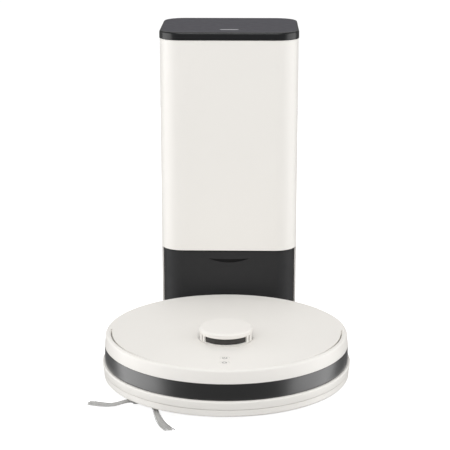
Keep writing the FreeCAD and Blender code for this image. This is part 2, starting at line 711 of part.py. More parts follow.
def base_pan():
    """White lower shell, with the brush tunnel, wheel bays and caster cup moulded in."""
    z0, z1 = UNDERSIDE_Z, PAN_Z1
    dish = turned([(0, z0, 0), (PAN_BOTTOM_R, z0, 2.4), (PAN_R, SKIRT_SEAM_Z, 0),
                   (PAN_R - 2.6, SKIRT_SEAM_Z, 0), (PAN_R - 2.8, z1, 0), (0, z1, 0)])
    tunnel = box(-TUNNEL_HALF_W, TUNNEL_HALF_W, TUNNEL_Y0, TUNNEL_Y1, z1, TUNNEL_Z1)
    bays = both_sides(box(MODULE_X0 - MODULE_WALL, MODULE_X1 + MODULE_WALL, MODULE_Y0 - MODULE_WALL,
                          MODULE_Y1 + MODULE_WALL, z1, DECK_PLATE_Z0))
    cup = post(CASTER_CUP_R + CASTER_CUP_WALL, z1, CUP_ROOF_Z + 6.0, 0, CASTER_Y)
    pan = join([dish, tunnel, cup] + bays)
    w = TUNNEL_WALL
    pan = pan.cut(box(-MOUTH_HALF_W, MOUTH_HALF_W, TUNNEL_Y0 + w, TUNNEL_Y1 - w, 0, TUNNEL_Z1 - w))
    pan = pan.cut(box(-BIN_INLET_HALF_W, BIN_INLET_HALF_W, TUNNEL_Y1 - w - 1, TUNNEL_Y1 + 1,
                      BIN_INLET_Z0, BIN_INLET_Z1))
    for bay in both_sides(box(MODULE_X0, MODULE_X1, MODULE_Y0, MODULE_Y1, 0, DECK_PLATE_Z0)):
        pan = pan.cut(bay)
    pan = pan.cut(post(CASTER_CUP_R, 0, CUP_ROOF_Z, 0, CASTER_Y))
    pan = pan.cut(post(CASTER_STEM_R + RUN, 0, CUP_ROOF_Z + 10, 0, CASTER_Y))
    for x0 in (MODULE_X0, ARM_X1 + BODY_GAP):
        pan = join([pan] + both_sides(box(x0, x0 + EAR_T, MODULE_Y0, PIVOT_Y + 6.0, z0, PIVOT_Z + 6.0)))
    for bore in both_sides(rod_x(PIVOT_R + RUN, MODULE_X0 - 0.2, ARM_X1 + EAR_T + 1, PIVOT_Y, PIVOT_Z)):
        pan = pan.cut(bore)
    pan = pan.cut(rod_x(SHAFT_R + RUN, -TUNNEL_HALF_W - 1, -MOUTH_HALF_W + 1, BRUSH_Y, BRUSH_Z))
    pan = pan.cut(rod_x(SHAFT_R + 1.0, MOUTH_HALF_W - 1, TUNNEL_HALF_W + 1, BRUSH_Y, BRUSH_Z))
    pan = pan.cut(post(SHAFT_R + 2.0, 0, z1 + 1, SIDE_BRUSH_X, SIDE_BRUSH_Y))
    for x, y in robot_posts():
        pan = pan.cut(post(SCREW_HEAD_R, 0, z1, x, y))
    for x, y in cliff_places():
        pan = pan.cut(cliff_slab(x, y, 0, z1))
    for x in (-PIN_X, PIN_X):
        pan = pan.cut(charging_pad(x, 0, z1))
    return pan


def rear_side_profile():
    """Section of the rear side wall: skirt, ledge, groove for the dark band, shoulder."""
    return [(PAN_R - 2.6, SKIRT_SEAM_Z, 0), (PAN_R, SKIRT_SEAM_Z, 0), (ROBOT_R, BAND_Z0 - 1.6, 1.4),
            (ROBOT_R - 1.6, BAND_Z0, 0.8), (GROOVE_R, BAND_Z0, 0), (GROOVE_R, BAND_Z1, 0),
            (BAND_R, BAND_Z1, 0), (BAND_R - 1.3, COVER_Z0 - BODY_GAP, 0),
            (GROOVE_R - 2.4, COVER_Z0 - BODY_GAP, 0), (GROOVE_R - 2.4, BAND_Z0 - 3.4, 0),
            (PAN_R - 2.6, BAND_Z0 - 5.4, 0)]


def upper_housing():
    z0 = DECK_PLATE_Z0
    z1 = DECK_PLATE_Z0 + DECK_PLATE_T
    front = box(-FAR, FAR, -FAR, REAR_WALL_Y, 0, FAR)
    rear = box(-FAR, FAR, REAR_WALL_Y, FAR, 0, FAR)
    side = turned(rear_side_profile()).common(rear)
    deck = join([post(INNER_WALL_R, z0, z1).common(front), post(GROOVE_R - 1.0, z0, z1).common(rear)])
    inner = ring(INNER_WALL_R, INNER_WALL_R - INNER_WALL_T, PAN_Z1, z1).common(front)
    webs = both_sides(box(INNER_WALL_R - INNER_WALL_T, GROOVE_R - 1.0, REAR_WALL_Y, REAR_WALL_Y + 2.4,
                          PAN_Z1, z1))
    webs = [w.common(post(GROOVE_R - 1.0, 0, FAR)) for w in webs]
    housing = join([side, deck, inner] + webs + [post(POST_R, PAN_Z1, z0, x, y) for x, y in robot_posts()])
    w = DUCT_WALL
    outlet = box(-PORT_HALF_W - w, PORT_HALF_W + w, BIN_Y1 + 0.6, GROOVE_R - 4.0,
                 PORT_Z0 - w, PORT_Z1 + w)
    housing = join([housing, outlet])
    housing = housing.cut(box(-PORT_HALF_W, PORT_HALF_W, BIN_Y1 - 2, FAR, PORT_Z0, PORT_Z1))
    bin_hole = box(-BIN_X - BIN_CLEAR, BIN_X + BIN_CLEAR, BIN_Y0 - BIN_CLEAR, BIN_Y1 + 0.6, z0 - 1, FAR)
    housing = housing.cut(bin_hole.common(post(BIN_CORNER_R + BIN_CLEAR, 0, FAR)))
    housing = housing.cut(post(30.0, z0 - 1, FAR, TURRET_X, TURRET_Y))
    for x, y in robot_posts():
        housing = housing.cut(post(SCREW_SHANK_R, 0, PAN_Z1 + 12, x, y))
    return housing


def rear_band():
    """The half of the dark band that stays still, open where the dust port comes through."""
    band = ring(BAND_R, GROOVE_R, BAND_Z0, BAND_Z1).common(box(-FAR, FAR, REAR_WALL_Y, FAR, 0, FAR))
    return band.cut(box(-PORT_HALF_W, PORT_HALF_W, 0, FAR, PORT_Z0, PORT_Z1))


def bumper_profile():
    """Section of the bumper: skirt, ledge, window groove, shoulder and raised rim."""
    return [(PAN_R - 2.4, BUMPER_Z0, 0), (PAN_R + 0.3, BUMPER_Z0, 0.6), (ROBOT_R, BAND_Z0 - 1.6, 1.4),
            (ROBOT_R - 1.6, BAND_Z0, 0.8), (GROOVE_R, BAND_Z0, 0), (GROOVE_R, BAND_Z1, 0),
            (BAND_R, BAND_Z1, 0.5), (GROOVE_R, RIM_Z, 3.4), (BUMPER_INNER_R + 2.0, RIM_Z, 1.2),
            (BUMPER_INNER_R, RIM_Z - 3.0, 1.0), (BUMPER_INNER_R, 66.0, 0), (BUMPER_INNER_R + 2.6, 66.0, 0),
            (GROOVE_R - 2.4, 60.0, 0), (GROOVE_R - 2.4, BAND_Z0 - 3.4, 0), (PAN_R - 2.4, BAND_Z0 - 5.4, 0)]


def front_half():
    return box(-FAR, FAR, -FAR, BUMPER_END_Y, 0, FAR)


def bumper_shell():
    return turned(bumper_profile()).common(front_half())


def bumper_window():
    return ring(BAND_R, GROOVE_R, BAND_Z0, BAND_Z1).common(front_half())


def bumper_switches():
    switches = []
    for angle in (-38.0, 38.0):
        r = INNER_WALL_R
        block = box(-7, 7, -r - 3.6, -r + 0.6, 38, 48).cut(post(r, 0, FAR))
        lever = box(-1.5, 1.5, -r - 5.4, -r - 3.6, 41, 45)
        switch = join([block, lever])
        switch.rotate(vec(0, 0, 0), vec(0, 0, 1), angle)
        switches.append(switch)
    return switches


def top_cover():
    """Lift-off cover: inside the bumper's rim in front, out to the side wall at the back."""
    skin = 2.4
    rear_y = BUMPER_END_Y + BUMPER_TRAVEL + BODY_GAP
    front = turned([(0, DECK_Z - skin, 0), (COVER_FRONT_R - skin, DECK_Z - skin, 0),
                    (COVER_FRONT_R - skin, COVER_Z0, 0), (COVER_FRONT_R, COVER_Z0, 0),
                    (COVER_FRONT_R, DECK_Z, 1.0), (0, DECK_Z, 0)], 0, COVER_FRONT_Y)
    front = front.common(box(-FAR, FAR, -FAR, rear_y, 0, FAR))
    rear = turned([(0, DECK_Z - skin, 0), (COVER_REAR_R - 3.2, DECK_Z - skin, 0),
                   (COVER_REAR_R - 2.6, COVER_Z0, 0), (COVER_REAR_R + 0.3, COVER_Z0, 0),
                   (COVER_REAR_R, DECK_Z, 3.2), (0, DECK_Z, 0)])
    rear = rear.common(box(-FAR, FAR, rear_y, FAR, 0, FAR))
    ends = both_sides(box(COVER_FRONT_R - skin, COVER_REAR_R - 3.0, rear_y, rear_y + skin,
                          COVER_Z0, DECK_Z - skin))
    cover = join([front, rear] + ends)
    cover = cover.cut(post(TURRET_R + 1.0, 0, FAR, TURRET_X, TURRET_Y))
    for y in BUTTONS.values():
        cover = join([cover, post(BUTTON_R + 1.6, COVER_Z0 + 0.6, DECK_Z - skin, 0, y)])
        cover = cover.cut(post(BUTTON_R + SEAM, DECK_Z - BUTTON_CAP_T - BUTTON_TRAVEL - BODY_GAP, FAR, 0, y))
        cover = cover.cut(post(BUTTON_STEM_R + SEAM, 0, FAR, 0, y))
    return cover


def button(y):
    z0 = DECK_Z - BUTTON_CAP_T
    cap = post(BUTTON_R, z0, DECK_Z, 0, y)
    cap = cap.makeFillet(0.3, [e for e in cap.Edges if abs(e.CenterOfMass.z - DECK_Z) < 0.01])
    return join([cap, post(BUTTON_STEM_R, COVER_Z0 - 0.2, z0, 0, y)])


# ---------------------------------------------------------------- robot: turret
WINDOW_Z0 = 74.2
WINDOW_Z1 = 82.8
WINDOW_R = 35.6
WINDOW_INSET = 1.4         # the smoked window stands this far behind the posts' faces
TURRET_FLOOR = 2.0
FRONT_WINDOW_DEG = 53.0
POST_DEG = 6.5
SLIT_DEG = 5.0
SECOND_POST_DEG = 14.0
SPINDLE_R = 3.0


def turret_base():
    foot = DECK_PLATE_Z0 + DECK_PLATE_T
    sleeve_r = WINDOW_R - WINDOW_INSET
    collar = ring(TURRET_R + 0.2, sleeve_r, foot, WINDOW_Z0, TURRET_X, TURRET_Y)
    floor = post(sleeve_r + 0.5, foot, foot + TURRET_FLOOR, TURRET_X, TURRET_Y)
    posts = []
    second = FRONT_WINDOW_DEG + POST_DEG + SLIT_DEG
    spans = [(FRONT_WINDOW_DEG, FRONT_WINDOW_DEG + POST_DEG), (second, second + SECOND_POST_DEG),
             (150.0, 170.0)]
    tube = ring(WINDOW_R + 1.0, sleeve_r, WINDOW_Z0, WINDOW_Z1, TURRET_X, TURRET_Y)
    for start, end in spans + [(-b, -a) for a, b in spans]:
        posts.append(tube.common(sector(60, start, end, 0, FAR, TURRET_X, TURRET_Y)))
    base = join([collar, floor] + posts)
    return base.cut(post(SPINDLE_R + RUN, 0, WINDOW_Z0, TURRET_X, TURRET_Y))


def turret_window():
    sleeve_r = WINDOW_R - WINDOW_INSET
    foot = DECK_PLATE_Z0 + DECK_PLATE_T + TURRET_FLOOR
    return ring(sleeve_r, sleeve_r - 1.6, foot, WINDOW_Z1, TURRET_X, TURRET_Y)


def turret_cap():
    dome = turned([(0, WINDOW_Z1, 0), (TURRET_R, WINDOW_Z1, 0.6), (TURRET_R, TURRET_H, 3.0), (0, TURRET_H, 0)],
                  TURRET_X, TURRET_Y)
    return dome.cut(post(TURRET_R - 5.0, WINDOW_Z1, TURRET_H - 2.4, TURRET_X, TURRET_Y))


ROTOR_DISC_R = 27.0
ROTOR_DISC_Z0 = 67.5
ROTOR_DISC_Z1 = 71.0
ROTOR_HEAD = (17.0, 13.0, 20.0)    # half width, half depth and the radius that rounds its corners
ROTOR_HEAD_Z1 = 83.6
ROTOR_EYES = [(8.0, 4.2, 2.0), (-8.0, 2.8, 1.5)]    # x, radius and how far each stands out
ROTOR_EYE_Z = 77.5
SPINDLE_Z0 = 58.0


def lidar_rotor():
    x, y = TURRET_X, TURRET_Y
    half_w, half_d, corner = ROTOR_HEAD
    disc = post(ROTOR_DISC_R, ROTOR_DISC_Z0, ROTOR_DISC_Z1, x, y)
    head = box(x - half_w, x + half_w, y - half_d, y + half_d, ROTOR_DISC_Z1, ROTOR_HEAD_Z1)
    head = head.common(post(corner, 0, FAR, x, y))
    eyes = [rod_y(r, y - half_d - out, y - half_d + 1, x + dx, ROTOR_EYE_Z) for dx, r, out in ROTOR_EYES]
    spindle = post(SPINDLE_R, SPINDLE_Z0, ROTOR_DISC_Z0, x, y)
    return join([disc, head, spindle] + eyes)


# ---------------------------------------------------------------- robot: inside
CORE_HALF_W = 62.0         # battery and main board, one above the other
CORE_Y0 = -114.0
CORE_Y1 = -48.0
BATTERY_Z1 = 44.0
BATTERY_EDGE_R = 4.0
MAIN_BOARD_Z = 50.0
BOARD_PARTS = [(-18.0, 14.0, -94.0, -66.0, 3.4),      # processor can: x0, x1, y0, y1, height
               (26.0, 44.0, -96.0, -80.0, 2.4),       # memory
               (-50.0, -34.0, -102.0, -88.0, 5.4),    # coil
               (-48.0, -28.0, -70.0, -56.0, 3.4),     # motor driver
               (-58.0, 58.0, -113.0, -110.0, 6.4)]    # row of sockets
STAND_X = 50.0
STAND_Y = -81.0
STAND_HALF = 3.0


def battery():
    pack = box(-CORE_HALF_W, CORE_HALF_W, CORE_Y0, CORE_Y1, PAN_Z1 + 0.5, BATTERY_Z1)
    return pack.makeFillet(BATTERY_EDGE_R, pack.Edges)


def main_board():
    top = MAIN_BOARD_Z + BOARD_T
    pieces = [box(-CORE_HALF_W, CORE_HALF_W, CORE_Y0, CORE_Y1, MAIN_BOARD_Z, top)]
    for x0, x1, y0, y1, height in BOARD_PARTS:
        pieces.append(box(x0, x1, y0, y1, top, top + height))
    pieces += both_sides(box(STAND_X - STAND_HALF, STAND_X + STAND_HALF, STAND_Y - STAND_HALF,
                             STAND_Y + STAND_HALF, BATTERY_Z1, MAIN_BOARD_Z))
    return join(pieces)


BLOWER_X = -99.0
BLOWER_Y = 90.0
BLOWER_R = 23.5
BLOWER_Z1 = 50.0
BLOWER_EDGE_R = 4.0
BLOWER_MOTOR_R = 13.0
BLOWER_MOTOR_H = 8.0
BLOWER_PORT = (10.0, 26.0, 14.0, 20.0, 46.0)    # from the axis, to, half width, z0, z1
BLOWER_PORT_WALL = 2.0


def vacuum_fan():
    x, y, wall = BLOWER_X, BLOWER_Y, BLOWER_PORT_WALL
    near, far, half, z0, z1 = BLOWER_PORT
    case = post(BLOWER_R, PAN_Z1, BLOWER_Z1, x, y)
    case = case.makeFillet(BLOWER_EDGE_R, [e for e in case.Edges if abs(e.CenterOfMass.z - BLOWER_Z1) < 0.01])
    motor = post(BLOWER_MOTOR_R, BLOWER_Z1, BLOWER_Z1 + BLOWER_MOTOR_H, x, y)
    port = box(x + near, x + far, y - half, y + half, z0, z1)
    bore = box(x + near + wall, x + far + 1, y - half + wall, y + half - wall, z0 + wall, z1 - wall)
    return join([case, motor, port]).cut(bore)


MAIN_SHAFT_REACH = 5.5     # of the main brush, past the tunnel into its gearbox
SIDE_SHAFT_Z1 = 24.0       # top of the side brush's shaft
SIDE_GEARBOX_R = 16.0
SIDE_GEARBOX_Z1 = 32.0
SIDE_CAN_R = 9.0
SIDE_CAN_Z1 = 56.0
SIDE_CAN_SHIFT = 6.0       # the motor stands beside the shaft by this, along X and along Y


def side_brush_motor():
    x, y = SIDE_BRUSH_X, SIDE_BRUSH_Y
    gearbox = post(SIDE_GEARBOX_R, PAN_Z1, SIDE_GEARBOX_Z1, x, y)
    can = post(SIDE_CAN_R, SIDE_GEARBOX_Z1, SIDE_CAN_Z1, x + SIDE_CAN_SHIFT, y + SIDE_CAN_SHIFT)
    motor = join([gearbox, can]).cut(post(SHAFT_R + RUN, 0, SIDE_SHAFT_Z1 + 2, x, y))
    return motor.common(post(INNER_WALL_R - INNER_WALL_T - SEAM, 0, FAR))


DRIVE_GAP = 0.2            # from the tunnel's wall and the pan's floor
DRIVE_HALF_D = 12.0        # ahead of the brush's axis
DRIVE_Y1 = 58.0
DRIVE_Z1 = 42.0
DRIVE_MOTOR_R = 11.0
DRIVE_MOTOR_X0 = 42.0
DRIVE_MOTOR_Y = 47.5
DRIVE_MOTOR_Z = 28.0


def main_brush_motor():
    x0 = TUNNEL_HALF_W + DRIVE_GAP
    case = box(x0, MODULE_X0 - MODULE_WALL - SEAM, BRUSH_Y - DRIVE_HALF_D, DRIVE_Y1,
               PAN_Z1 + DRIVE_GAP, DRIVE_Z1)
    motor = rod_x(DRIVE_MOTOR_R, DRIVE_MOTOR_X0, x0, DRIVE_MOTOR_Y, DRIVE_MOTOR_Z)
    drive = rod_x(SHAFT_R + RUN, x0 - 1, x0 + MAIN_SHAFT_REACH + 0.5, BRUSH_Y, BRUSH_Z)
    return join([case, motor]).cut(drive)


GUARD_T = 1.5
GUARD_SIDE = 9.0           # how far the frame reaches past the mouth, at each end
GUARD_FRONT = 3.0
GUARD_BACK = 4.0
GUARD_CORNER_R = 5.0
GUARD_RIM = 2.2            # left of the lip, inside the mouth
GUARD_OPEN_HALF = 22.0


def brush_guard():
    """Frame that clips under the brush mouth."""
    half = MOUTH_HALF_W
    frame = slab(-half - GUARD_SIDE, half + GUARD_SIDE, TUNNEL_Y0 - GUARD_FRONT, TUNNEL_Y1 + GUARD_BACK,
                 UNDERSIDE_Z - GUARD_T, UNDERSIDE_Z, GUARD_CORNER_R)
    lip = box(-half + SEAM, half - SEAM, TUNNEL_Y0 + TUNNEL_WALL + SEAM, TUNNEL_Y1 - TUNNEL_WALL - SEAM,
              UNDERSIDE_Z, PAN_Z1)
    mouth = slab(-half + GUARD_RIM, half - GUARD_RIM, BRUSH_Y - GUARD_OPEN_HALF, BRUSH_Y + GUARD_OPEN_HALF,
                 0, 2 * PAN_Z1, 2.0)
    return join([frame, lip]).cut(mouth)


ROBOT_SCREW_SINK = 0.4
ROBOT_SCREW_BITE = 11.0


def robot_screws():
    screws = []
    z0 = UNDERSIDE_Z + ROBOT_SCREW_SINK
    for x, y in robot_posts():
        head = post(SCREW_HEAD_R, z0, PAN_Z1, x, y).cut(cross_recess(x, y, z0))
        screws.append(join([head, post(SCREW_SHANK_R, PAN_Z1, PAN_Z1 + ROBOT_SCREW_BITE, x, y)]))
    return screws


# ---------------------------------------------------------------- robot: dust bin
FILTER_Y0 = 75.0           # frame of the filter in the bin's side
FILTER_Y1 = 125.0
FILTER_Z0 = 20.0
FILTER_Z1 = 52.0
FILTER_T = 8.0
FILTER_SEAT = 2.0          # of the bin's wall, all round behind the frame
FILTER_RIM_Y = 4.0
FILTER_RIM_Z = 3.0
FILTER_PITCH = 5.0
FILTER_SLOT = 2.4
HANDLE_HALF_W = 24.0
HANDLE_Y0 = 100.0
HANDLE_Y1 = 108.0
HANDLE_H = 4.6
HANDLE_POST = 4.0
HANDLE_BAR = 2.0


def dust_bin():
    z0, z1 = BIN_Z0, BIN_Z1
    w = BIN_WALL
    outer = box(-BIN_X, BIN_X, BIN_Y0, BIN_Y1, z0, z1).common(post(BIN_CORNER_R, 0, FAR))
    inner = box(-BIN_X + w, BIN_X - w, BIN_Y0 + w, BIN_Y1 - w, z0 + w, z1 - w)
    case = outer.cut(inner.common(post(BIN_CORNER_R - w, 0, FAR)))
    case = case.cut(box(-BIN_INLET_HALF_W, BIN_INLET_HALF_W, BIN_Y0 - 1, BIN_Y0 + w + 1,
                        BIN_INLET_Z0, BIN_INLET_Z1))
    case = case.cut(box(-PORT_HALF_W, PORT_HALF_W, BIN_Y1 - w - 1, BIN_Y1 + 1, PORT_Z0, PORT_Z1))
    case = case.cut(box(-BIN_X - 1, -BIN_X + w + 1, FILTER_Y0 + FILTER_SEAT, FILTER_Y1 - FILTER_SEAT,
                        FILTER_Z0 + FILTER_SEAT, FILTER_Z1 - FILTER_SEAT))
    handle = box(-HANDLE_HALF_W, HANDLE_HALF_W, HANDLE_Y0, HANDLE_Y1, z1 - 0.2, z1 + HANDLE_H)
    grip = box(-HANDLE_HALF_W + HANDLE_POST, HANDLE_HALF_W - HANDLE_POST, HANDLE_Y0 - 1, HANDLE_Y1 + 1,
               z1 - 1, z1 + HANDLE_H - HANDLE_BAR)
    return join([case, handle.cut(grip)])


def bin_filter():
    x0 = -BIN_X + BIN_WALL
    frame = box(x0, x0 + FILTER_T, FILTER_Y0, FILTER_Y1, FILTER_Z0, FILTER_Z1)
    count = int((FILTER_Y1 - FILTER_Y0 - 2 * FILTER_RIM_Y) / FILTER_PITCH) + 1
    for i in range(count):
        y = FILTER_Y0 + FILTER_RIM_Y + i * FILTER_PITCH
        frame = frame.cut(box(x0 + 1.5, x0 + FILTER_T + 1, y, y + FILTER_SLOT,
                              FILTER_Z0 + FILTER_RIM_Z, FILTER_Z1 - FILTER_RIM_Z))
    return frame


# ---------------------------------------------------------------- robot: wheels
def wheel_arm():
    """Drop arm with the drive gearbox at its end and its pivot pin."""
    x1 = min(ARM_X1, WHEEL_TRACK / 2 - WHEEL_W / 2 - 1.2)
    gearbox = rod_x(ARM_GEARBOX_R, ARM_X0, x1, WHEEL_Y, WHEEL_R)
    root = rod_x(ARM_ROOT_R, ARM_X0, x1, PIVOT_Y, PIVOT_Z)
    lean = math.atan2(WHEEL_R - PIVOT_Z, WHEEL_Y - PIVOT_Y)
    span = math.hypot(WHEEL_Y - PIVOT_Y, WHEEL_R - PIVOT_Z)
    web = box(ARM_X0, x1, 0, span, -ARM_ROOT_R, ARM_ROOT_R)
    web.rotate(vec(0, 0, 0), vec(1, 0, 0), math.degrees(lean))
    web.translate(vec(0, PIVOT_Y, PIVOT_Z))
    arm = join([gearbox, root, web])
    pin = rod_x(PIVOT_R, MODULE_X0 + SEAM, ARM_X1 + BODY_GAP + EAR_T, PIVOT_Y, PIVOT_Z)
    return join([arm, pin]).cut(rod_x(SHAFT_R + RUN, x1 - 8, x1 + 1, WHEEL_Y, WHEEL_R))


TYRE_T = 6.0
HUB_RIM_T = 4.0
HUB_DISH = 4.0
BOSS_R = 7.0
AXLE_REACH = 7.5           # from the hub into the arm's gearbox


def wheel_hub():
    x0 = WHEEL_TRACK / 2 - WHEEL_W / 2
    x1 = x0 + WHEEL_W
    drum = rod_x(WHEEL_R - TYRE_T, x0, x1, WHEEL_Y, WHEEL_R)
    drum = drum.cut(rod_x(WHEEL_R - TYRE_T - HUB_RIM_T, x1 - HUB_DISH, x1 + 1, WHEEL_Y, WHEEL_R))
    boss = rod_x(BOSS_R, x1 - HUB_DISH - 2, x1 - 1, WHEEL_Y, WHEEL_R)
    axle = rod_x(SHAFT_R, x0 - AXLE_REACH, x0 + 2, WHEEL_Y, WHEEL_R)
    return join([drum, boss, axle])


def tyre():
    x0 = WHEEL_TRACK / 2 - WHEEL_W / 2 + 1
    x1 = x0 + WHEEL_W - 2
    band = rod_x(WHEEL_R, x0, x1, WHEEL_Y, WHEEL_R)
    band = band.makeFillet(1.5, [e for e in band.Edges if abs(e.Length - 2 * math.pi * WHEEL_R) < 0.1])
    return band.cut(rod_x(WHEEL_R - TYRE_T, x0 - 1, x1 + 1, WHEEL_Y, WHEEL_R))


CASTER_AXLE_R = 1.5
CHEEK_GAP = 0.5
CHEEK_T = 2.2
CHEEK_HALF_L = 5.0
CHEEK_DROP = 4.0           # below the caster's axle
STEM_RISE = 6.0            # above the cup's roof


def caster_fork():
    y = CASTER_Y
    axle_y = y + CASTER_TRAIL
    top = post(CASTER_CUP_R - 0.8, FORK_Z0, FORK_Z1, 0, y)
    stem = post(CASTER_STEM_R, FORK_Z1, CUP_ROOF_Z + STEM_RISE, 0, y)
    inside = CASTER_W / 2 + CHEEK_GAP
    cheek = box(inside, inside + CHEEK_T, axle_y - CHEEK_HALF_L, axle_y + CHEEK_HALF_L,
                CASTER_R - CHEEK_DROP, FORK_Z0)
    fork = join([top, stem] + both_sides(cheek))
    return fork.cut(rod_x(CASTER_AXLE_R + RUN, -inside - CHEEK_T - 1, inside + CHEEK_T + 1, axle_y, CASTER_R))


def caster_wheel():
    half = CASTER_W / 2
    y = CASTER_Y + CASTER_TRAIL
    wheel = rod_x(CASTER_R, -half, half, y, CASTER_R)
    wheel = wheel.makeFillet(2.0, [e for e in wheel.Edges if e.Length > CASTER_R * 6])
    reach = half + CHEEK_GAP + CHEEK_T
    return join([wheel, rod_x(CASTER_AXLE_R, -reach, reach, y, CASTER_R)])


# ---------------------------------------------------------------- robot: brushes
TUFT_DEG = (177.0, 290.0, 53.0)    # where each arm points, from +X towards +Y
TUFT_START = 24.0                  # from the hub's axis to where the bristles leave the arm
TUFT_ROOT = (2.8, 5.0, 8.6)        # half width, z0, z1
TUFT_TIP = (6.2, 0.8, 2.6)
SPOKE_HALF_W = 3.2
HUB_Z0 = 3.2
HUB_Z1 = 10.0


def side_brush_hub():
    x, y = SIDE_BRUSH_X, SIDE_BRUSH_Y
    cap = turned([(0, HUB_Z0, 0), (HUB_R - 1, HUB_Z0, 2.0), (HUB_R, HUB_Z1, 0.8), (0, HUB_Z1, 0)], x, y)
    arms = []
    for angle in TUFT_DEG:
        stub = box(0, TUFT_START, -SPOKE_HALF_W, SPOKE_HALF_W, HUB_Z0 + 1.0, HUB_Z1 - 0.8)
        stub.rotate(vec(0, 0, 0), vec(0, 0, 1), angle)
        stub.translate(vec(x, y, 0))
        arms.append(stub)
    return join([cap, post(SHAFT_R, HUB_Z1, SIDE_SHAFT_Z1, x, y)] + arms)


def upright_oblong(x, half_w, z0, z1):
    """Closed wire in the plane across X at x."""
    corners = [vec(x, -half_w, z0), vec(x, half_w, z0), vec(x, half_w, z1), vec(x, -half_w, z1)]
    return Part.Wire(Part.makePolygon(corners + corners[:1]))


def side_brush_bristles():
    """One flat tuft for each arm, widening from its root to its tip and sloping to the floor."""
    tufts = []
    for angle in TUFT_DEG:
        root = upright_oblong(TUFT_START, *TUFT_ROOT)
        tip = upright_oblong(SIDE_BRUSH_R, *TUFT_TIP)
        tuft = Part.makeLoft([root, tip], True, True)
        tuft.rotate(vec(0, 0, 0), vec(0, 0, 1), angle)
        tuft.translate(vec(SIDE_BRUSH_X, SIDE_BRUSH_Y, 0))
        tufts.append(tuft)
    return tufts


BRUSH_CORE_R = 11.0
FIN_COUNT = 6
FIN_HALF_T = 1.2


def main_brush():
    half = BRUSH_L / 2
    core = rod_x(BRUSH_CORE_R, -half, half, BRUSH_Y, BRUSH_Z)
    fins = []
    for i in range(FIN_COUNT):
        fin = box(-half + 1, half - 1, -FIN_HALF_T, FIN_HALF_T, BRUSH_CORE_R - 1, BRUSH_R)
        fin.rotate(vec(0, 0, 0), vec(1, 0, 0), (i + 0.5) * 360 / FIN_COUNT)
        fin.translate(vec(0, BRUSH_Y, BRUSH_Z))
        fins.append(fin)
    left = rod_x(SHAFT_R, -TUNNEL_HALF_W, -half, BRUSH_Y, BRUSH_Z)
    right = rod_x(SHAFT_R, half, TUNNEL_HALF_W + MAIN_SHAFT_REACH, BRUSH_Y, BRUSH_Z)
    return join([core, left, right] + fins)


# ---------------------------------------------------------------- write every piece
def build():
    os.makedirs("parts", exist_ok=True)
    save("station_base", station_base())
    save("station_screws", station_screws())
    save("rubber_feet", rubber_feet())
    save("dock_panel", dock_panel())
    save("signal_window", signal_window())
    save("front_cover", front_cover())
    save("rear_shell", rear_shell())
    save("exhaust_grille", exhaust_grille())
    save("exhaust_filter", exhaust_filter())
    save("power_inlet", power_inlet())
    save("suction_duct", suction_duct())
    save("bag_chamber", bag_chamber())
    save("dust_bag", dust_bag())
    save("bag_collar", bag_collar())
    save("station_fan", station_fan())
    save("power_board", power_board())
    save("top_frame", top_frame())
    save("lid_hinge_pins", hinge_pins())
    save("charging_pins", charging_pins())
    save("port_gasket", port_gasket())
    save("station_lid", station_lid())
    save("lid_top_panel", lid_top_panel())
    save("lid_status_light", lid_status_light())
    save("lid_seal", lid_seal())

    save_on_robot("base_pan", base_pan())
    save_on_robot("upper_housing", upper_housing())
    save_on_robot("rear_band", rear_band())
    save_on_robot("bumper_shell", bumper_shell())
    save_on_robot("bumper_window", bumper_window())
    save_on_robot("bumper_switches", bumper_switches())
    save_on_robot("top_cover", top_cover())
    for name, y in BUTTONS.items():
        save_on_robot(name, button(y))
    save_on_robot("turret_base", turret_base())
    save_on_robot("turret_window", turret_window())
    save_on_robot("turret_cap", turret_cap())
    save_on_robot("lidar_rotor", lidar_rotor())
    save_on_robot("battery", battery())
    save_on_robot("main_board", main_board())
    save_on_robot("vacuum_fan", vacuum_fan())
    save_on_robot("side_brush_motor", side_brush_motor())
    save_on_robot("main_brush_motor", main_brush_motor())
    save_on_robot("brush_guard", brush_guard())
    save_on_robot("robot_screws", robot_screws())
    save_on_robot("cliff_sensors", [cliff_slab(x, y, UNDERSIDE_Z, PAN_Z1) for x, y in cliff_places()])
    save_on_robot("charging_pads", [charging_pad(x, UNDERSIDE_Z, PAN_Z1) for x in (-PIN_X, PIN_X)])
    save_on_robot("dust_bin", dust_bin())
    save_on_robot("bin_filter", bin_filter())
    for side, turn in (("right", lambda s: s), ("left", mirror_x)):
        save_on_robot(side + "_wheel_arm", turn(wheel_arm()))
        save_on_robot(side + "_wheel_hub", turn(wheel_hub()))
        save_on_robot(side + "_tyre", turn(tyre()))
    save_on_robot("caster_fork", caster_fork())
    save_on_robot("caster_wheel", caster_wheel())
    save_on_robot("side_brush_hub", side_brush_hub())
    save_on_robot("side_brush_bristles", side_brush_bristles())
    save_on_robot("main_brush", main_brush())


build()
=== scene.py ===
"""Looks of the robot vacuum and its self-emptying station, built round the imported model."""
import json
import math
import random

import bmesh
import bpy
from mathutils import Matrix, Vector, noise


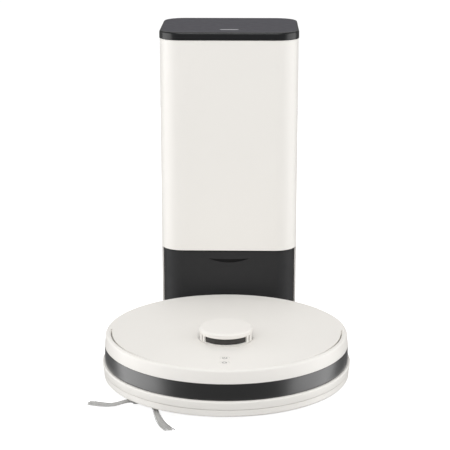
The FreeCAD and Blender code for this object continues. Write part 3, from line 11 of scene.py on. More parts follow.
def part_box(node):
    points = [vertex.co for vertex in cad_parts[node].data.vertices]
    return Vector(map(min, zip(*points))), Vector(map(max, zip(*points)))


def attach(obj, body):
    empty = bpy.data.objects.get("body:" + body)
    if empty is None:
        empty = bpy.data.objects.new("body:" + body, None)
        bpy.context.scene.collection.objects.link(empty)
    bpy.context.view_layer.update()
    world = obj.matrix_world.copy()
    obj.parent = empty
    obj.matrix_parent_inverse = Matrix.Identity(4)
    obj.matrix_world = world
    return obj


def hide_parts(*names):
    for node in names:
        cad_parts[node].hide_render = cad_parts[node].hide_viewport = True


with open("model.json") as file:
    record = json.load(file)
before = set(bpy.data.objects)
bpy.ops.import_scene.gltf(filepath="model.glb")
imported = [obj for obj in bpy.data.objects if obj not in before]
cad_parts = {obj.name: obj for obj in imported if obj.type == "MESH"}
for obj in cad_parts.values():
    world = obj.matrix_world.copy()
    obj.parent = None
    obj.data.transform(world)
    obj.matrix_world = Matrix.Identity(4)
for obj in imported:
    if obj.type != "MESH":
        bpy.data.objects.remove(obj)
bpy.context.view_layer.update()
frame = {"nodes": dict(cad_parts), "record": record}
NODES = frame["nodes"]

MM = 0.001


# ---------------------------------------------------------------- sizes, in millimetres
def low(node):
    """Lowest corner of a CAD node, in millimetres."""
    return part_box(node)[0] / MM


def high(node):
    """Highest corner of a CAD node, in millimetres."""
    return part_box(node)[1] / MM


def middle(node):
    return (low(node) + high(node)) / 2


ROBOT = middle("base_pan").to_2d()
PAN_R = (high("base_pan").x - low("base_pan").x) / 2
ROBOT_R = high("bumper_shell").x
BAND_R = high("bumper_window").x
BAND_Z0 = low("bumper_window").z
BAND_Z1 = high("bumper_window").z
BAND_T = 1.9               # thickness of the dark band
GROOVE_R = BAND_R - BAND_T
RIM_Z = high("bumper_shell").z
BUMPER_Z0 = low("bumper_shell").z
BUMPER_INNER_R = 162.2     # the rim's inner wall, round the cover
BUMPER_END_Y = high("bumper_shell").y - ROBOT.y
DECK_Z = high("top_cover").z
BODY_HALF_D = high("rear_shell").y
SHELL_WALL = 2.6
SIDE_BRUSH = Vector((-101.0, ROBOT.y - 108.0))

ARC_STEPS = 6              # segments in a rounded corner
TURN_STEPS = 192           # segments in a full turn of a large round part
SHARP_ANGLE = 0.6          # radians between two faces, from which their edge counts as sharp


# ---------------------------------------------------------------- materials
class Wire:
    """A shader socket that can be written in sums."""

    def __init__(self, finish, socket):
        self.finish = finish
        self.socket = socket

    def sum(self, operation, *values):
        settings = {"operation": operation}
        return self.finish.node("ShaderNodeMath", settings, dict(enumerate(values)))

    def __add__(self, other):
        return self.sum("ADD", self, other)

    def __radd__(self, other):
        return self.sum("ADD", other, self)

    def __rsub__(self, other):
        return self.sum("SUBTRACT", other, self)

    def __mul__(self, other):
        return self.sum("MULTIPLY", self, other)

    def __gt__(self, other):
        return self.sum("GREATER_THAN", self, other)


class Finish:
    """A material under construction: its nodes, its shader and the ways its patterns are made."""

    def __init__(self, name, **sockets):
        self.material = bpy.data.materials.new(name)
        self.material.use_nodes = True
        self.tree = self.material.node_tree
        self.shader = self.tree.nodes["Principled BSDF"]
        for key, value in sockets.items():
            self.feed(key.replace("_", " "), value)

    def feed(self, name, value):
        socket = self.shader.inputs[name]
        if isinstance(value, Wire):
            self.tree.links.new(value.socket, socket)
        else:
            socket.default_value = value

    def node(self, kind, settings=None, sockets=None, out=0):
        made = self.tree.nodes.new(kind)
        for key, value in (settings or {}).items():
            setattr(made, key, value)
        for key, value in (sockets or {}).items():
            if isinstance(value, Wire):
                self.tree.links.new(value.socket, made.inputs[key])
            else:
                made.inputs[key].default_value = value
        return Wire(self, made.outputs[out])

    def place(self, size=(1, 1, 1)):
        """Object coordinates, stretched along the axes."""
        where = self.node("ShaderNodeTexCoord", out="Object")
        sockets = {"Vector": where, "Scale": size}
        return self.node("ShaderNodeMapping", {"vector_type": "POINT"}, sockets)

    def noise(self, scale, detail=2.0, where=None, rough=0.5):
        sockets = {"Scale": scale, "Detail": detail, "Roughness": rough,
                   "Vector": where or self.place()}
        return self.node("ShaderNodeTexNoise", sockets=sockets, out="Fac")

    def wave(self, scale, where, direction, distort=0.0):
        settings = {"bands_direction": direction, "wave_profile": "SIN"}
        sockets = {"Scale": scale, "Distortion": distort, "Vector": where}
        return self.node("ShaderNodeTexWave", settings, sockets, out="Fac")

    def cells(self, scale, where=None):
        sockets = {"Scale": scale, "Vector": where or self.place()}
        return self.node("ShaderNodeTexVoronoi", {"feature": "F1"}, sockets, out="Distance")

    def between(self, share, first, second):
        """Colour mixed by a share from 0, the first, to 1, the second."""
        return self.node("ShaderNodeMix", {"data_type": "RGBA", "clamp_factor": True},
                         {0: share, 6: first, 7: second}, out=2)

    def spread(self, wire, from_low, from_high, to_low=0.0, to_high=1.0):
        return self.node("ShaderNodeMapRange", {"clamp": True},
                         {"Value": wire, "From Min": from_low, "From Max": from_high,
                          "To Min": to_low, "To Max": to_high})

    def shade(self, share, base, dark, pale):
        """Base colour that drifts between two shades of one colour."""
        self.feed("Base Color", self.between(share, shaded(base, dark), shaded(base, pale)))

    def gloss(self, share, smooth, rough):
        """Roughness that follows the middle of a noise."""
        self.feed("Roughness", self.spread(share, 0.3, 0.7, smooth, rough))

    def emboss(self, height, depth, strength):
        sockets = {"Height": height, "Distance": depth, "Strength": strength}
        self.feed("Normal", self.node("ShaderNodeBump", sockets=sockets))


def tone(value, warmth=(1.0, 1.0, 1.0)):
    return tuple(value * w for w in warmth) + (1.0,)


def shaded(colour, factor):
    return tuple(min(c * factor, 1.0) for c in colour[:3]) + (1.0,)


def moulded(name, colour, rough, grain=0.00003, variation=0.03, **sockets):
    """Moulded plastic: a spark-eroded grain, slow drifts of shade and of gloss."""
    finish = Finish(name, **sockets)
    drift = finish.noise(9.0, 3.0)
    grit = finish.noise(1500.0, 2.0)
    finish.shade(drift, colour, 1 - variation, 1 + variation)
    finish.gloss(finish.noise(60.0, 4.0), rough - 0.04, rough + 0.04)
    finish.emboss(grit, grain, 0.5)
    return finish.material


WARM = (1.0, 0.973, 0.927)
WHITE = tone(0.860, WARM)


def white_plastic():
    return moulded("white_plastic", WHITE, 0.36, 0.00002, 0.008, Specular_IOR_Level=0.5)


def white_satin():
    """The cover's finer satin, a shade brighter and smoother than the shell."""
    return moulded("white_satin", tone(0.865, WARM), 0.42, 0.000015, 0.006)


def dark_satin():
    return moulded("dark_satin", (0.026, 0.026, 0.027, 1), 0.62, 0.00003, 0.05,
                   Specular_IOR_Level=0.28)


def lid_matte():
    """Blue-grey matte lid, with the fine sparkle of a pearl paint."""
    finish = Finish("lid_matte", Specular_IOR_Level=0.30)
    base = (0.066, 0.064, 0.077, 1)
    fleck = finish.spread(finish.cells(2600.0), 0.02, 0.35)
    ground = finish.between(finish.noise(14.0, 3.0), shaded(base, 0.98), shaded(base, 1.02))
    finish.feed("Base Color", finish.between(fleck, shaded(base, 1.12), ground))
    finish.gloss(finish.noise(90.0), 0.56, 0.62)
    finish.emboss(finish.noise(2400.0), 0.00002, 0.5)
    return finish.material


def lid_gloss():
    finish = Finish("lid_gloss", IOR=1.5, Coat_Weight=0.3, Coat_Roughness=0.22)
    base = (0.0095, 0.0097, 0.0110, 1)
    finish.shade(finish.noise(20.0), base, 0.9, 1.1)
    finish.gloss(finish.noise(45.0, 4.0), 0.29, 0.34)
    finish.emboss(finish.noise(700.0), 0.000008, 0.4)
    return finish.material


def band_gloss():
    """Infrared-clear glossy black, with the faint orange peel of moulded acrylic."""
    finish = Finish("band_gloss", IOR=1.8, Coat_Weight=1.0, Coat_IOR=1.5, Coat_Roughness=0.30)
    base = (0.0075, 0.0075, 0.0078, 1)
    finish.shade(finish.noise(11.0), base, 0.8, 1.2)
    finish.gloss(finish.noise(30.0, 4.0), 0.30, 0.36)
    finish.emboss(finish.noise(160.0, 3.0), 0.00002, 0.3)
    return finish.material


def smoked():
    finish = Finish("smoked_window", IOR=1.5)
    base = (0.030, 0.028, 0.027, 1)
    finish.shade(finish.noise(40.0), base, 0.85, 1.15)
    finish.gloss(finish.noise(60.0), 0.16, 0.24)
    finish.emboss(finish.noise(300.0), 0.00001, 0.3)
    return finish.material


def black_plastic():
    return moulded("black_plastic", (0.022, 0.022, 0.023, 1), 0.5, 0.00005, 0.08)


def grey_plastic():
    return moulded("grey_plastic", (0.30, 0.305, 0.31, 1), 0.45, 0.00004, 0.04)


def signal_lens_painted_shade():
    """Lens that only infrared passes, dull and nearly black: its own dark tint, deepened below the
    panel's as painted shade of the recess it sits in.
    """
    finish = Finish("signal_lens_painted_shade", Specular_IOR_Level=0.2)
    # darker than the dark panel: painted shade of the slot's recess on top of the lens's own tint
    base = (0.006, 0.006, 0.0065, 1)
    finish.shade(finish.noise(40.0), base, 0.8, 1.2)
    finish.gloss(finish.noise(60.0), 0.50, 0.58)
    finish.emboss(finish.noise(300.0), 0.00001, 0.3)
    return finish.material


def icon_ink():
    return moulded("icon_ink", (0.055, 0.055, 0.058, 1), 0.55, 0.00001, 0.05)


def clear_smoke():
    """Tinted bin plastic that lets some light through."""
    finish = Finish("clear_smoke", IOR=1.5, Alpha=0.62)
    base = (0.10, 0.11, 0.12, 1)
    finish.shade(finish.noise(12.0), base, 0.9, 1.1)
    finish.gloss(finish.noise(50.0, 3.0), 0.12, 0.20)
    finish.emboss(finish.noise(220.0), 0.00002, 0.3)
    return finish.material


def rubber(name, shade, rough):
    """Rubber: dull, slightly dusty on its high spots."""
    finish = Finish(name)
    base = tone(shade)
    dust = finish.spread(finish.noise(120.0, 5.0), 0.45, 0.75)
    finish.feed("Base Color", finish.between(dust, base, tone(shade * 1.5 + 0.012)))
    finish.feed("Roughness", finish.spread(dust, 0.0, 1.0, rough, rough + 0.12))
    finish.emboss(finish.noise(900.0, 3.0), 0.00006, 0.6)
    return finish.material


def metal(name, colour, rough, along=(1, 1, 40)):
    """Drawn or pressed metal, with fine lines along one axis."""
    finish = Finish(name, Metallic=1.0)
    lines = finish.noise(260.0, 3.0, finish.place(size=along))
    finish.shade(lines, colour, 0.88, 1.08)
    finish.gloss(lines, rough - 0.06, rough + 0.08)
    finish.emboss(lines, 0.00003, 0.4)
    return finish.material


def circuit_board():
    """Green solder mask with copper tracks that run square."""
    finish = Finish("circuit_board")
    where = finish.place()
    across = finish.wave(140.0, where, "X")
    along = finish.wave(120.0, where, "Z", distort=1.5)
    gate = finish.noise(38.0, 1.0, where) > 0.52
    track = ((across > 0.82) * gate) + ((along > 0.84) * (1 - gate))
    mask = (0.012, 0.085, 0.035, 1)
    finish.feed("Base Color", finish.between(track, mask, (0.05, 0.20, 0.075, 1)))
    finish.feed("Roughness", 0.38 + track * 0.08)
    finish.emboss(track, 0.00004, 0.6)
    return finish.material


def battery_wrap():
    """Shrink film, crinkled where it is drawn tight."""
    finish = Finish("battery_wrap")
    crinkle = finish.noise(55.0, 5.0, finish.place(size=(1, 3, 3)))
    base = (0.020, 0.065, 0.20, 1)
    finish.shade(crinkle, base, 0.85, 1.2)
    finish.gloss(crinkle, 0.22, 0.36)
    finish.emboss(crinkle, 0.0006, 0.5)
    return finish.material


def bag_fabric():
    """Non-woven fabric: point-bonded dimples over tangled fibre."""
    finish = Finish("bag_fabric", Sheen_Weight=0.3)
    where = finish.place()
    bond = finish.spread(finish.cells(420.0, where), 0.10, 0.35)
    fibre = finish.noise(800.0, 6.0, finish.place(size=(1, 1, 3)), 0.7)
    cloud = finish.noise(30.0, 4.0, where)
    pale = tone(0.66, (1.0, 0.99, 0.96))
    ground = finish.between(cloud, shaded(pale, 0.92), shaded(pale, 1.05))
    finish.feed("Base Color", finish.between(bond, shaded(pale, 0.80), ground))
    finish.feed("Roughness", 0.82 + fibre * 0.12)
    finish.emboss(bond * 0.7 + fibre * 0.5, 0.0003, 0.8)
    return finish.material


def pressed_card():
    finish = Finish("pressed_card")
    fibre = finish.noise(300.0, 6.0, finish.place(size=(1, 1, 4)), 0.7)
    base = (0.42, 0.33, 0.22, 1)
    finish.shade(fibre, base, 0.85, 1.15)
    finish.feed("Roughness", 0.75 + fibre * 0.15)
    finish.emboss(fibre, 0.0001, 0.6)
    return finish.material


def filter_paper():
    finish = Finish("filter_paper")
    fibre = finish.noise(500.0, 6.0, finish.place(size=(1, 1, 2)), 0.7)
    soot = finish.noise(26.0, 3.0)
    pale = tone(0.70, (1.0, 1.0, 0.98))
    ground = finish.between(soot, shaded(pale, 0.94), shaded(pale, 1.04))
    finish.feed("Base Color", finish.between(fibre, shaded(pale, 0.88), ground))
    finish.feed("Roughness", 0.80 + fibre * 0.15)
    finish.emboss(fibre, 0.0001, 0.6)
    return finish.material


def bristle_nylon(name, dark, light, rough):
    finish = Finish(name)
    strand = finish.noise(420.0, 3.0)
    finish.feed("Base Color", finish.between(strand, dark, light))
    finish.gloss(strand, rough - 0.05, rough + 0.08)
    finish.emboss(strand, 0.00005, 0.4)
    return finish.material


def status_lens():
    """Frosted strip that a light sits behind, switched off."""
    finish = Finish("status_lens")
    frost = finish.noise(900.0, 3.0)
    pale = tone(0.42, (1.0, 1.0, 1.03))
    finish.shade(frost, pale, 0.9, 1.1)
    finish.feed("Roughness", 0.40 + frost * 0.1)
    finish.emboss(frost, 0.00001, 0.4)
    return finish.material


FINISHES = {
    "white_shell": white_plastic(),
    "white_cover": white_satin(),
    "dark_panel": dark_satin(),
    "dark_gloss": band_gloss(),
    "lid_rim": lid_gloss(),
    "lid_top": lid_matte(),
    "light_lens": status_lens(),
    "smoked_window": smoked(),
    "black_plastic": black_plastic(),
    "grey_plastic": grey_plastic(),
    "clear_smoke": clear_smoke(),
    "soft_rubber": rubber("soft_rubber", 0.030, 0.68),
    "tyre_rubber": rubber("tyre_rubber", 0.024, 0.72),
    "steel": metal("drawn_steel", (0.56, 0.57, 0.58, 1), 0.34),
    "contact_metal": metal("plated_contact", (0.78, 0.70, 0.52, 1), 0.24),
    "circuit_board": circuit_board(),
    "battery_wrap": battery_wrap(),
    "bag_fabric": bag_fabric(),
    "card": pressed_card(),
    "filter_media": filter_paper(),
    "bristle": bristle_nylon("grey_bristle", (0.42, 0.415, 0.405, 1), (0.66, 0.655, 0.64, 1),
                             0.42),
    "brush_rubber": rubber("brush_rubber", 0.10, 0.6),
    "motor_metal": metal("pressed_can", (0.44, 0.44, 0.45, 1), 0.42, (40, 40, 1)),
    "fan_plastic": moulded("fan_plastic", (0.045, 0.045, 0.05, 1), 0.5, 0.00006, 0.06),
    "icon_ink": icon_ink(),
    "signal_lens_painted_shade": signal_lens_painted_shade(),
    "dark_bristle": bristle_nylon("dark_bristle", (0.03, 0.03, 0.032, 1), (0.09, 0.09, 0.095, 1),
                                  0.40),
}

# the signal window's near-black lens is partly painted shade of its recess
FINISH_OF_NODE = {"signal_window": "signal_lens_painted_shade"}
SLOT_OF_NODE = {entry["node"]: entry["material_slot"] for entry in frame["record"]["subparts"]}


def finish_node(node):
    """A CAD node that stays as it is, with its finish."""
    mesh = NODES[node].data
    mesh.materials.clear()
    mesh.materials.append(FINISHES[FINISH_OF_NODE.get(node, SLOT_OF_NODE[node])])


# ---------------------------------------------------------------- mesh work
def outline_face(bm, corners, steps=ARC_STEPS):
    """One face in the XY plane through (x, y, corner radius) points, in millimetres."""
    verts = [bm.verts.new((x * MM, y * MM, 0)) for x, y, _ in corners]
    bm.faces.new(verts)
    for i, (x, y, radius) in enumerate(corners):
        if radius <= 0:
            continue
        here = Vector((x, y))
        before = Vector(corners[i - 1][:2]) - here
        after = Vector(corners[(i + 1) % len(corners)][:2]) - here
        reach = radius / math.tan(before.angle(after) / 2)
        bmesh.ops.bevel(bm, geom=[verts[i]], offset=reach * MM, offset_type="OFFSET",
                        segments=steps, profile=0.5, affect="VERTICES", material=-1)


def slab_corners(x0, x1, y0, y1, radius):
    return [(x0, y0, radius), (x1, y0, radius), (x1, y1, radius), (x0, y1, radius)]


def move(bm, matrix, verts=None):
    bmesh.ops.transform(bm, matrix=matrix, verts=verts or bm.verts[:])


def shift(bm, x, y, z, verts=None):
    move(bm, Matrix.Translation(Vector((x, y, z)) * MM), verts)


def turn(bm, degrees, axis, centre=(0, 0, 0), verts=None):
    around = Matrix.Translation(Vector(centre) * MM)
    move(bm, around @ Matrix.Rotation(math.radians(degrees), 4, axis) @ around.inverted(), verts)


def soften(bm, radius, wanted, segments=3):
    """Round the edges for which wanted(edge) is true."""
    edges = [e for e in bm.edges if wanted(e)]
    bmesh.ops.bevel(bm, geom=edges, offset=radius * MM, offset_type="OFFSET", segments=segments,
                    profile=0.5, affect="EDGES", clamp_overlap=True, material=-1)


def sharp(edge):
    return edge.calc_face_angle(0) > SHARP_ANGLE


def raised(corners, z0, z1, steps=ARC_STEPS):
    """Upright prism over an outline."""
    bm = bmesh.new()
    outline_face(bm, corners, steps)
    grown = bmesh.ops.extrude_face_region(bm, geom=bm.faces[:])["geom"]
    shift(bm, 0, 0, z1 - z0, [v for v in grown if isinstance(v, bmesh.types.BMVert)])
    shift(bm, 0, 0, z0)
    bmesh.ops.recalc_face_normals(bm, faces=bm.faces[:])
    return bm


def hoop(outer, inner, z0, z1, steps=ARC_STEPS):
    """Upright wall between two outlines that have the same corners."""
    bm = bmesh.new()
    outline_face(bm, outer, steps)
    outline_face(bm, inner, steps)
    bmesh.ops.delete(bm, geom=bm.faces[:], context="FACES_ONLY")
    bmesh.ops.bridge_loops(bm, edges=bm.edges[:])
    grown = bmesh.ops.extrude_face_region(bm, geom=bm.faces[:])["geom"]
    shift(bm, 0, 0, z1 - z0, [v for v in grown if isinstance(v, bmesh.types.BMVert)])
    shift(bm, 0, 0, z0)
    bmesh.ops.recalc_face_normals(bm, faces=bm.faces[:])
    return bm


def lathed(corners, centre=(0.0, 0.0), start=0.0, end=360.0, steps=TURN_STEPS,
           arc_steps=ARC_STEPS):
    """Turned part from a section of (radius, z, corner radius); 0 degrees looks to -Y."""
    bm = bmesh.new()
    outline_face(bm, corners, arc_steps)
    move(bm, Matrix(((0, 0, 1, 0), (-1, 0, 0, 0), (0, 1, 0, 0), (0, 0, 0, 1))))
    turn(bm, start, "Z")
    bmesh.ops.delete(bm, geom=bm.faces[:], context="FACES_ONLY")
    on_axis = [e for e in bm.edges if all(v.co.xy.length < 1e-7 for v in e.verts)]
    bmesh.ops.delete(bm, geom=on_axis, context="EDGES")
    section = bm.edges[:]
    whole = end - start > 359.9
    count = max(3, round(steps * (end - start) / 360))
    swept = bmesh.ops.spin(bm, geom=bm.verts[:] + section, cent=(0, 0, 0), axis=(0, 0, 1),
                           dvec=(0, 0, 0), angle=math.radians(end - start), steps=count,
                           use_merge=whole, use_normal_flip=False, use_duplicate=False)
    if whole:
        bmesh.ops.remove_doubles(bm, verts=bm.verts[:], dist=1e-7)
    else:
        last = [g for g in swept["geom_last"] if isinstance(g, bmesh.types.BMEdge)]
        bmesh.ops.contextual_create(bm, geom=section)
        bmesh.ops.contextual_create(bm, geom=last)
    bmesh.ops.recalc_face_normals(bm, faces=bm.faces[:])
    shift(bm, centre[0], centre[1], 0)
    return bm


def block(x0, x1, y0, y1, z0, z1, bevel=0.0, segments=2):
    bm = bmesh.new()
    bmesh.ops.create_cube(bm, size=MM)
    bmesh.ops.scale(bm, vec=(x1 - x0, y1 - y0, z1 - z0), verts=bm.verts[:])
    shift(bm, (x0 + x1) / 2, (y0 + y1) / 2, (z0 + z1) / 2)
    if bevel:
        soften(bm, bevel, lambda e: True, segments)
    return bm


def rod(radius, z0, z1, centre=(0.0, 0.0), segments=32, bevel=0.0):
    """Upright round bar."""
    bm = bmesh.new()
    bmesh.ops.create_cone(bm, cap_ends=True, segments=segments, radius1=radius * MM,
                          radius2=radius * MM, depth=(z1 - z0) * MM)
    shift(bm, centre[0], centre[1], (z0 + z1) / 2)
    if bevel:
        soften(bm, bevel, sharp, 2)
    return bm


def add(bm, other):
    """Pour another piece of mesh into this one."""
    mesh = bpy.data.meshes.new("poured")
    other.to_mesh(mesh)
    other.free()
    bm.from_mesh(mesh)
    bpy.data.meshes.remove(mesh)
    return bm


def piece(name, bm, body, slot, finish=None, replaces=(), crease=35.0):
    """Turn a finished mesh into a piece that rides on its body."""
    for face in bm.faces:
        face.smooth = True
    for edge in bm.edges:
        edge.smooth = edge.calc_face_angle(0) < math.radians(crease)
    mesh = bpy.data.meshes.new(name)
    bm.to_mesh(mesh)
    bm.free()
    mesh.materials.append(FINISHES[finish or slot])
    made = bpy.data.objects.new(name, mesh)
    bpy.context.scene.collection.objects.link(made)
    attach(made, body)
    if replaces:
        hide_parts(*replaces)
    return made


# ---------------------------------------------------------------- robot: shell
BUMPER_WALL = 2.4
LEDGE_R = 164.8            # shelf behind the rim, over the deck's edge
LEDGE_Z = 66.0
LEDGE_FOOT_Z = 60.0
BAND_PLAY = 0.1            # the band is shorter than its groove by this, above and below
BAND_BEDDING = 0.02


def bumper_section():
    """The bumper's wall: foot and flank, the band's groove, the rim and the ledge behind it."""
    foot_r = PAN_R - BUMPER_WALL
    back_r = GROOVE_R - BUMPER_WALL
    return [(foot_r, BUMPER_Z0, 0), (PAN_R + 0.3, BUMPER_Z0, 0.6), (ROBOT_R, BAND_Z0 - 1.6, 1.4),
            (ROBOT_R - 1.6, BAND_Z0, 0.8), (GROOVE_R, BAND_Z0, 0), (GROOVE_R, BAND_Z1, 0),
            (BAND_R, BAND_Z1, 0.5), (GROOVE_R, RIM_Z, 3.4), (BUMPER_INNER_R + 2.0, RIM_Z, 1.2),
            (BUMPER_INNER_R, RIM_Z - 3.0, 1.0), (BUMPER_INNER_R, LEDGE_Z, 0),
            (LEDGE_R, LEDGE_Z, 0), (back_r, LEDGE_FOOT_Z, 0), (back_r, BAND_Z0 - 3.4, 0),
            (foot_r, BAND_Z0 - 5.4, 0)]


def bumper():
    end = 90.0 + math.degrees(math.asin(BUMPER_END_Y / BAND_R))
    shell = lathed(bumper_section(), ROBOT, -end, end)
    piece("bumper_moulding", shell, "bumper", "white_shell", replaces=["bumper_shell"])
    z0 = BAND_Z0 + BAND_PLAY
    z1 = BAND_Z1 - BAND_PLAY
    inner = GROOVE_R + BAND_BEDDING
    glass = lathed([(inner, z0, 0), (BAND_R, z0, 0.3), (BAND_R, z1, 0.3), (inner, z1, 0)],
                   ROBOT, -end, end)
    piece("sensor_band", glass, "bumper", "dark_gloss", replaces=["bumper_window"])


# ---------------------------------------------------------------- strands
def strands(lines, radius, resolution=3, sides=1, order=3):
    """Many thin round strands, one along each list of (x, y, z) points in millimetres."""
    curve = bpy.data.curves.new("strands", "CURVE")
    curve.dimensions = "3D"
    curve.resolution_u = resolution
    curve.bevel_depth = radius * MM
    curve.bevel_resolution = sides
    curve.use_fill_caps = True
    for line in lines:
        spline = curve.splines.new("NURBS")
        spline.points.add(len(line) - 1)
        for point, place in zip(spline.points, line):
            point.co = (*(Vector(place) * MM), 1.0)
        spline.order_u = min(order, len(line))
        spline.use_endpoint_u = True
    holder = bpy.data.objects.new("strands", curve)
    bpy.context.scene.collection.objects.link(holder)
    mesh = bpy.data.meshes.new_from_object(holder)
    bm = bmesh.new()
    bm.from_mesh(mesh)
    bpy.data.objects.remove(holder)
    bpy.data.curves.remove(curve)
    bpy.data.meshes.remove(mesh)
    return bm


def on_x(bm, x, y, z):
    """Lay an upright turned part along X, its foot at (x, y, z)."""
    turn(bm, 90, "Y")
    shift(bm, x, y, z)
    return bm


# ---------------------------------------------------------------- robot: side brush
HUB_R = 11.0
HUB_Z0 = 3.2
HUB_Z1 = 10.0
SHAFT_R = 4.0
SHAFT_TOP = 24.0
TUFT_PATHS = [
    [(-20.0, 1.1, 6.8), (-27.8, 3.4, 6.8), (-34.5, 2.0, 6.0), (-41.0, -1.6, 5.2),
     (-48.5, -4.4, 4.2), (-56.8, -3.6, 3.2), (-65.6, 0.4, 2.3), (-75.0, 4.6, 1.6),
     (-86.5, 9.1, 1.5)],
    [(6.9, -18.8, 6.8), (8.6, -25.4, 6.6), (10.2, -36.0, 5.6), (13.4, -49.0, 4.0),
     (18.0, -62.0, 2.5), (24.0, -75.0, 1.7), (33.0, -88.6, 1.5)],
    [(12.0, 16.0, 6.8), (17.6, 22.4, 6.4), (25.6, 31.0, 5.2), (35.4, 39.0, 3.8), (43.6, 48.4, 2.6),
     (48.0, 60.0, 1.8), (51.0, 71.8, 1.5)],
]
ARM_ANGLES = (177.0, 290.0, 53.0)
FILAMENTS = 64
FILAMENT_R = 0.30
TUFT_HALF_W = 2.2          # half the bundle's width at the arm
TUFT_OPENING = 5.4         # added to it at the tip
FLOOR_PLAY = 1.15          # lowest height of a filament's axis
REACH = (0.93, 1.015)      # shortest and longest filament, as shares of the drawn path


def tuft(rng, path):
    """Loose filaments that leave the arm in a flat bundle and open towards the tip."""
    lines = []
    last = len(path) - 1
    shortest, longest = REACH
    for _ in range(FILAMENTS):
        across = rng.uniform(-1.0, 1.0)
        height = rng.uniform(-1.0, 1.0)
        reach = rng.uniform(shortest, longest)
        bow = rng.gauss(0.0, 0.45)
        line = []
        for i, place in enumerate(path):
            share = i / last
            here = Vector(place)
            ahead = Vector(path[min(i + 1, last)]) - Vector(path[max(i - 1, 0)])
            side = Vector((-ahead.y, ahead.x, 0)).normalized()
            spread = TUFT_HALF_W + TUFT_OPENING * share ** 1.5
            here += side * (across * spread + bow * math.sin(share * math.pi) * 1.6)
            here.z = max(here.z + height * (1.6 - 0.9 * share), FLOOR_PLAY)
            line.append(here)
        end = line[-1] - line[-2]
        line[-1] = line[-2] + end * (reach - shortest) / (longest - shortest) * 0.9 + end * 0.1
        lines.append([(SIDE_BRUSH.x + p.x, SIDE_BRUSH.y + p.y, p.z) for p in line])
    return lines


def side_brush():
    hub = lathed([(0, HUB_Z0, 0), (4.2, HUB_Z0, 0.3), (4.2, 4.4, 0), (5.2, 4.4, 0),
                  (6.0, HUB_Z0, 0.4), (HUB_R - 1, HUB_Z0, 1.8), (HUB_R, HUB_Z1, 0.8),
                  (0, HUB_Z1, 0)],
                 SIDE_BRUSH, steps=72, arc_steps=4)
    add(hub, rod(SHAFT_R, HUB_Z1, SHAFT_TOP, SIDE_BRUSH, 40, 0.4))
    for angle in ARM_ANGLES:
        arm = raised([(5.0, -4.4, 0), (17.0, -3.4, 3.0), (23.6, -3.1, 1.6), (23.6, 3.1, 1.6),
                      (17.0, 3.4, 3.0), (5.0, 4.4, 0)], 4.2, 9.4, 4)
        soften(arm, 0.9, sharp, 3)
        for x in (19.6, 21.6):
            add(arm, block(x - 0.5, x + 0.5, -3.5, 3.5, 3.9, 9.7, 0.4))
        turn(arm, angle, "Z")
        shift(arm, SIDE_BRUSH.x, SIDE_BRUSH.y, 0)
        add(hub, arm)
    piece("side_brush_moulding", hub, "side_brush", "grey_plastic", replaces=["side_brush_hub"])
    screw = lathed([(0, 3.9, 0), (2.9, 3.9, 0.3), (3.4, 4.5, 0.2), (0, 4.5, 0)], SIDE_BRUSH,
                   steps=40, arc_steps=2)
    piece("side_brush_screw", screw, "side_brush", "steel")
    rng = random.Random(11)
    hair = bmesh.new()
    for path in TUFT_PATHS:
        add(hair, strands(tuft(rng, path), FILAMENT_R, resolution=2))
    piece("side_brush_filaments", hair, "side_brush", "bristle",
          replaces=["side_brush_bristles"], crease=180)


# ---------------------------------------------------------------- robot: roller brush
ROLLER_L = 138.0
ROLLER_R = 23.0
ROLLER_Y = ROBOT.y + 5.0
ROLLER_Z = 24.0
ROLLER_TWIST = math.radians(100)
ROWS = 3
TUFTS_HALF = 30            # tufts from the middle of a row to its end
TUFT_HAIRS = 6
BRISTLE_R = 0.22
BRISTLE_FOOT = 11.6        # just inside the core's skin
BRISTLE_BEND = 17.0        # where a bristle starts to lean
BLADE_T = 1.3
BLADE_SWEEP = 0.10         # how far a blade's lip trails its foot, in radians


def roller_spot(x, radius, phase, lean=0.0):
    """A point on the roller: the rows run as a V that meets in the middle."""
    angle = phase + ROLLER_TWIST * (abs(x) / (ROLLER_L / 2)) + lean
    return (x, ROLLER_Y + radius * math.cos(angle), ROLLER_Z + radius * math.sin(angle))


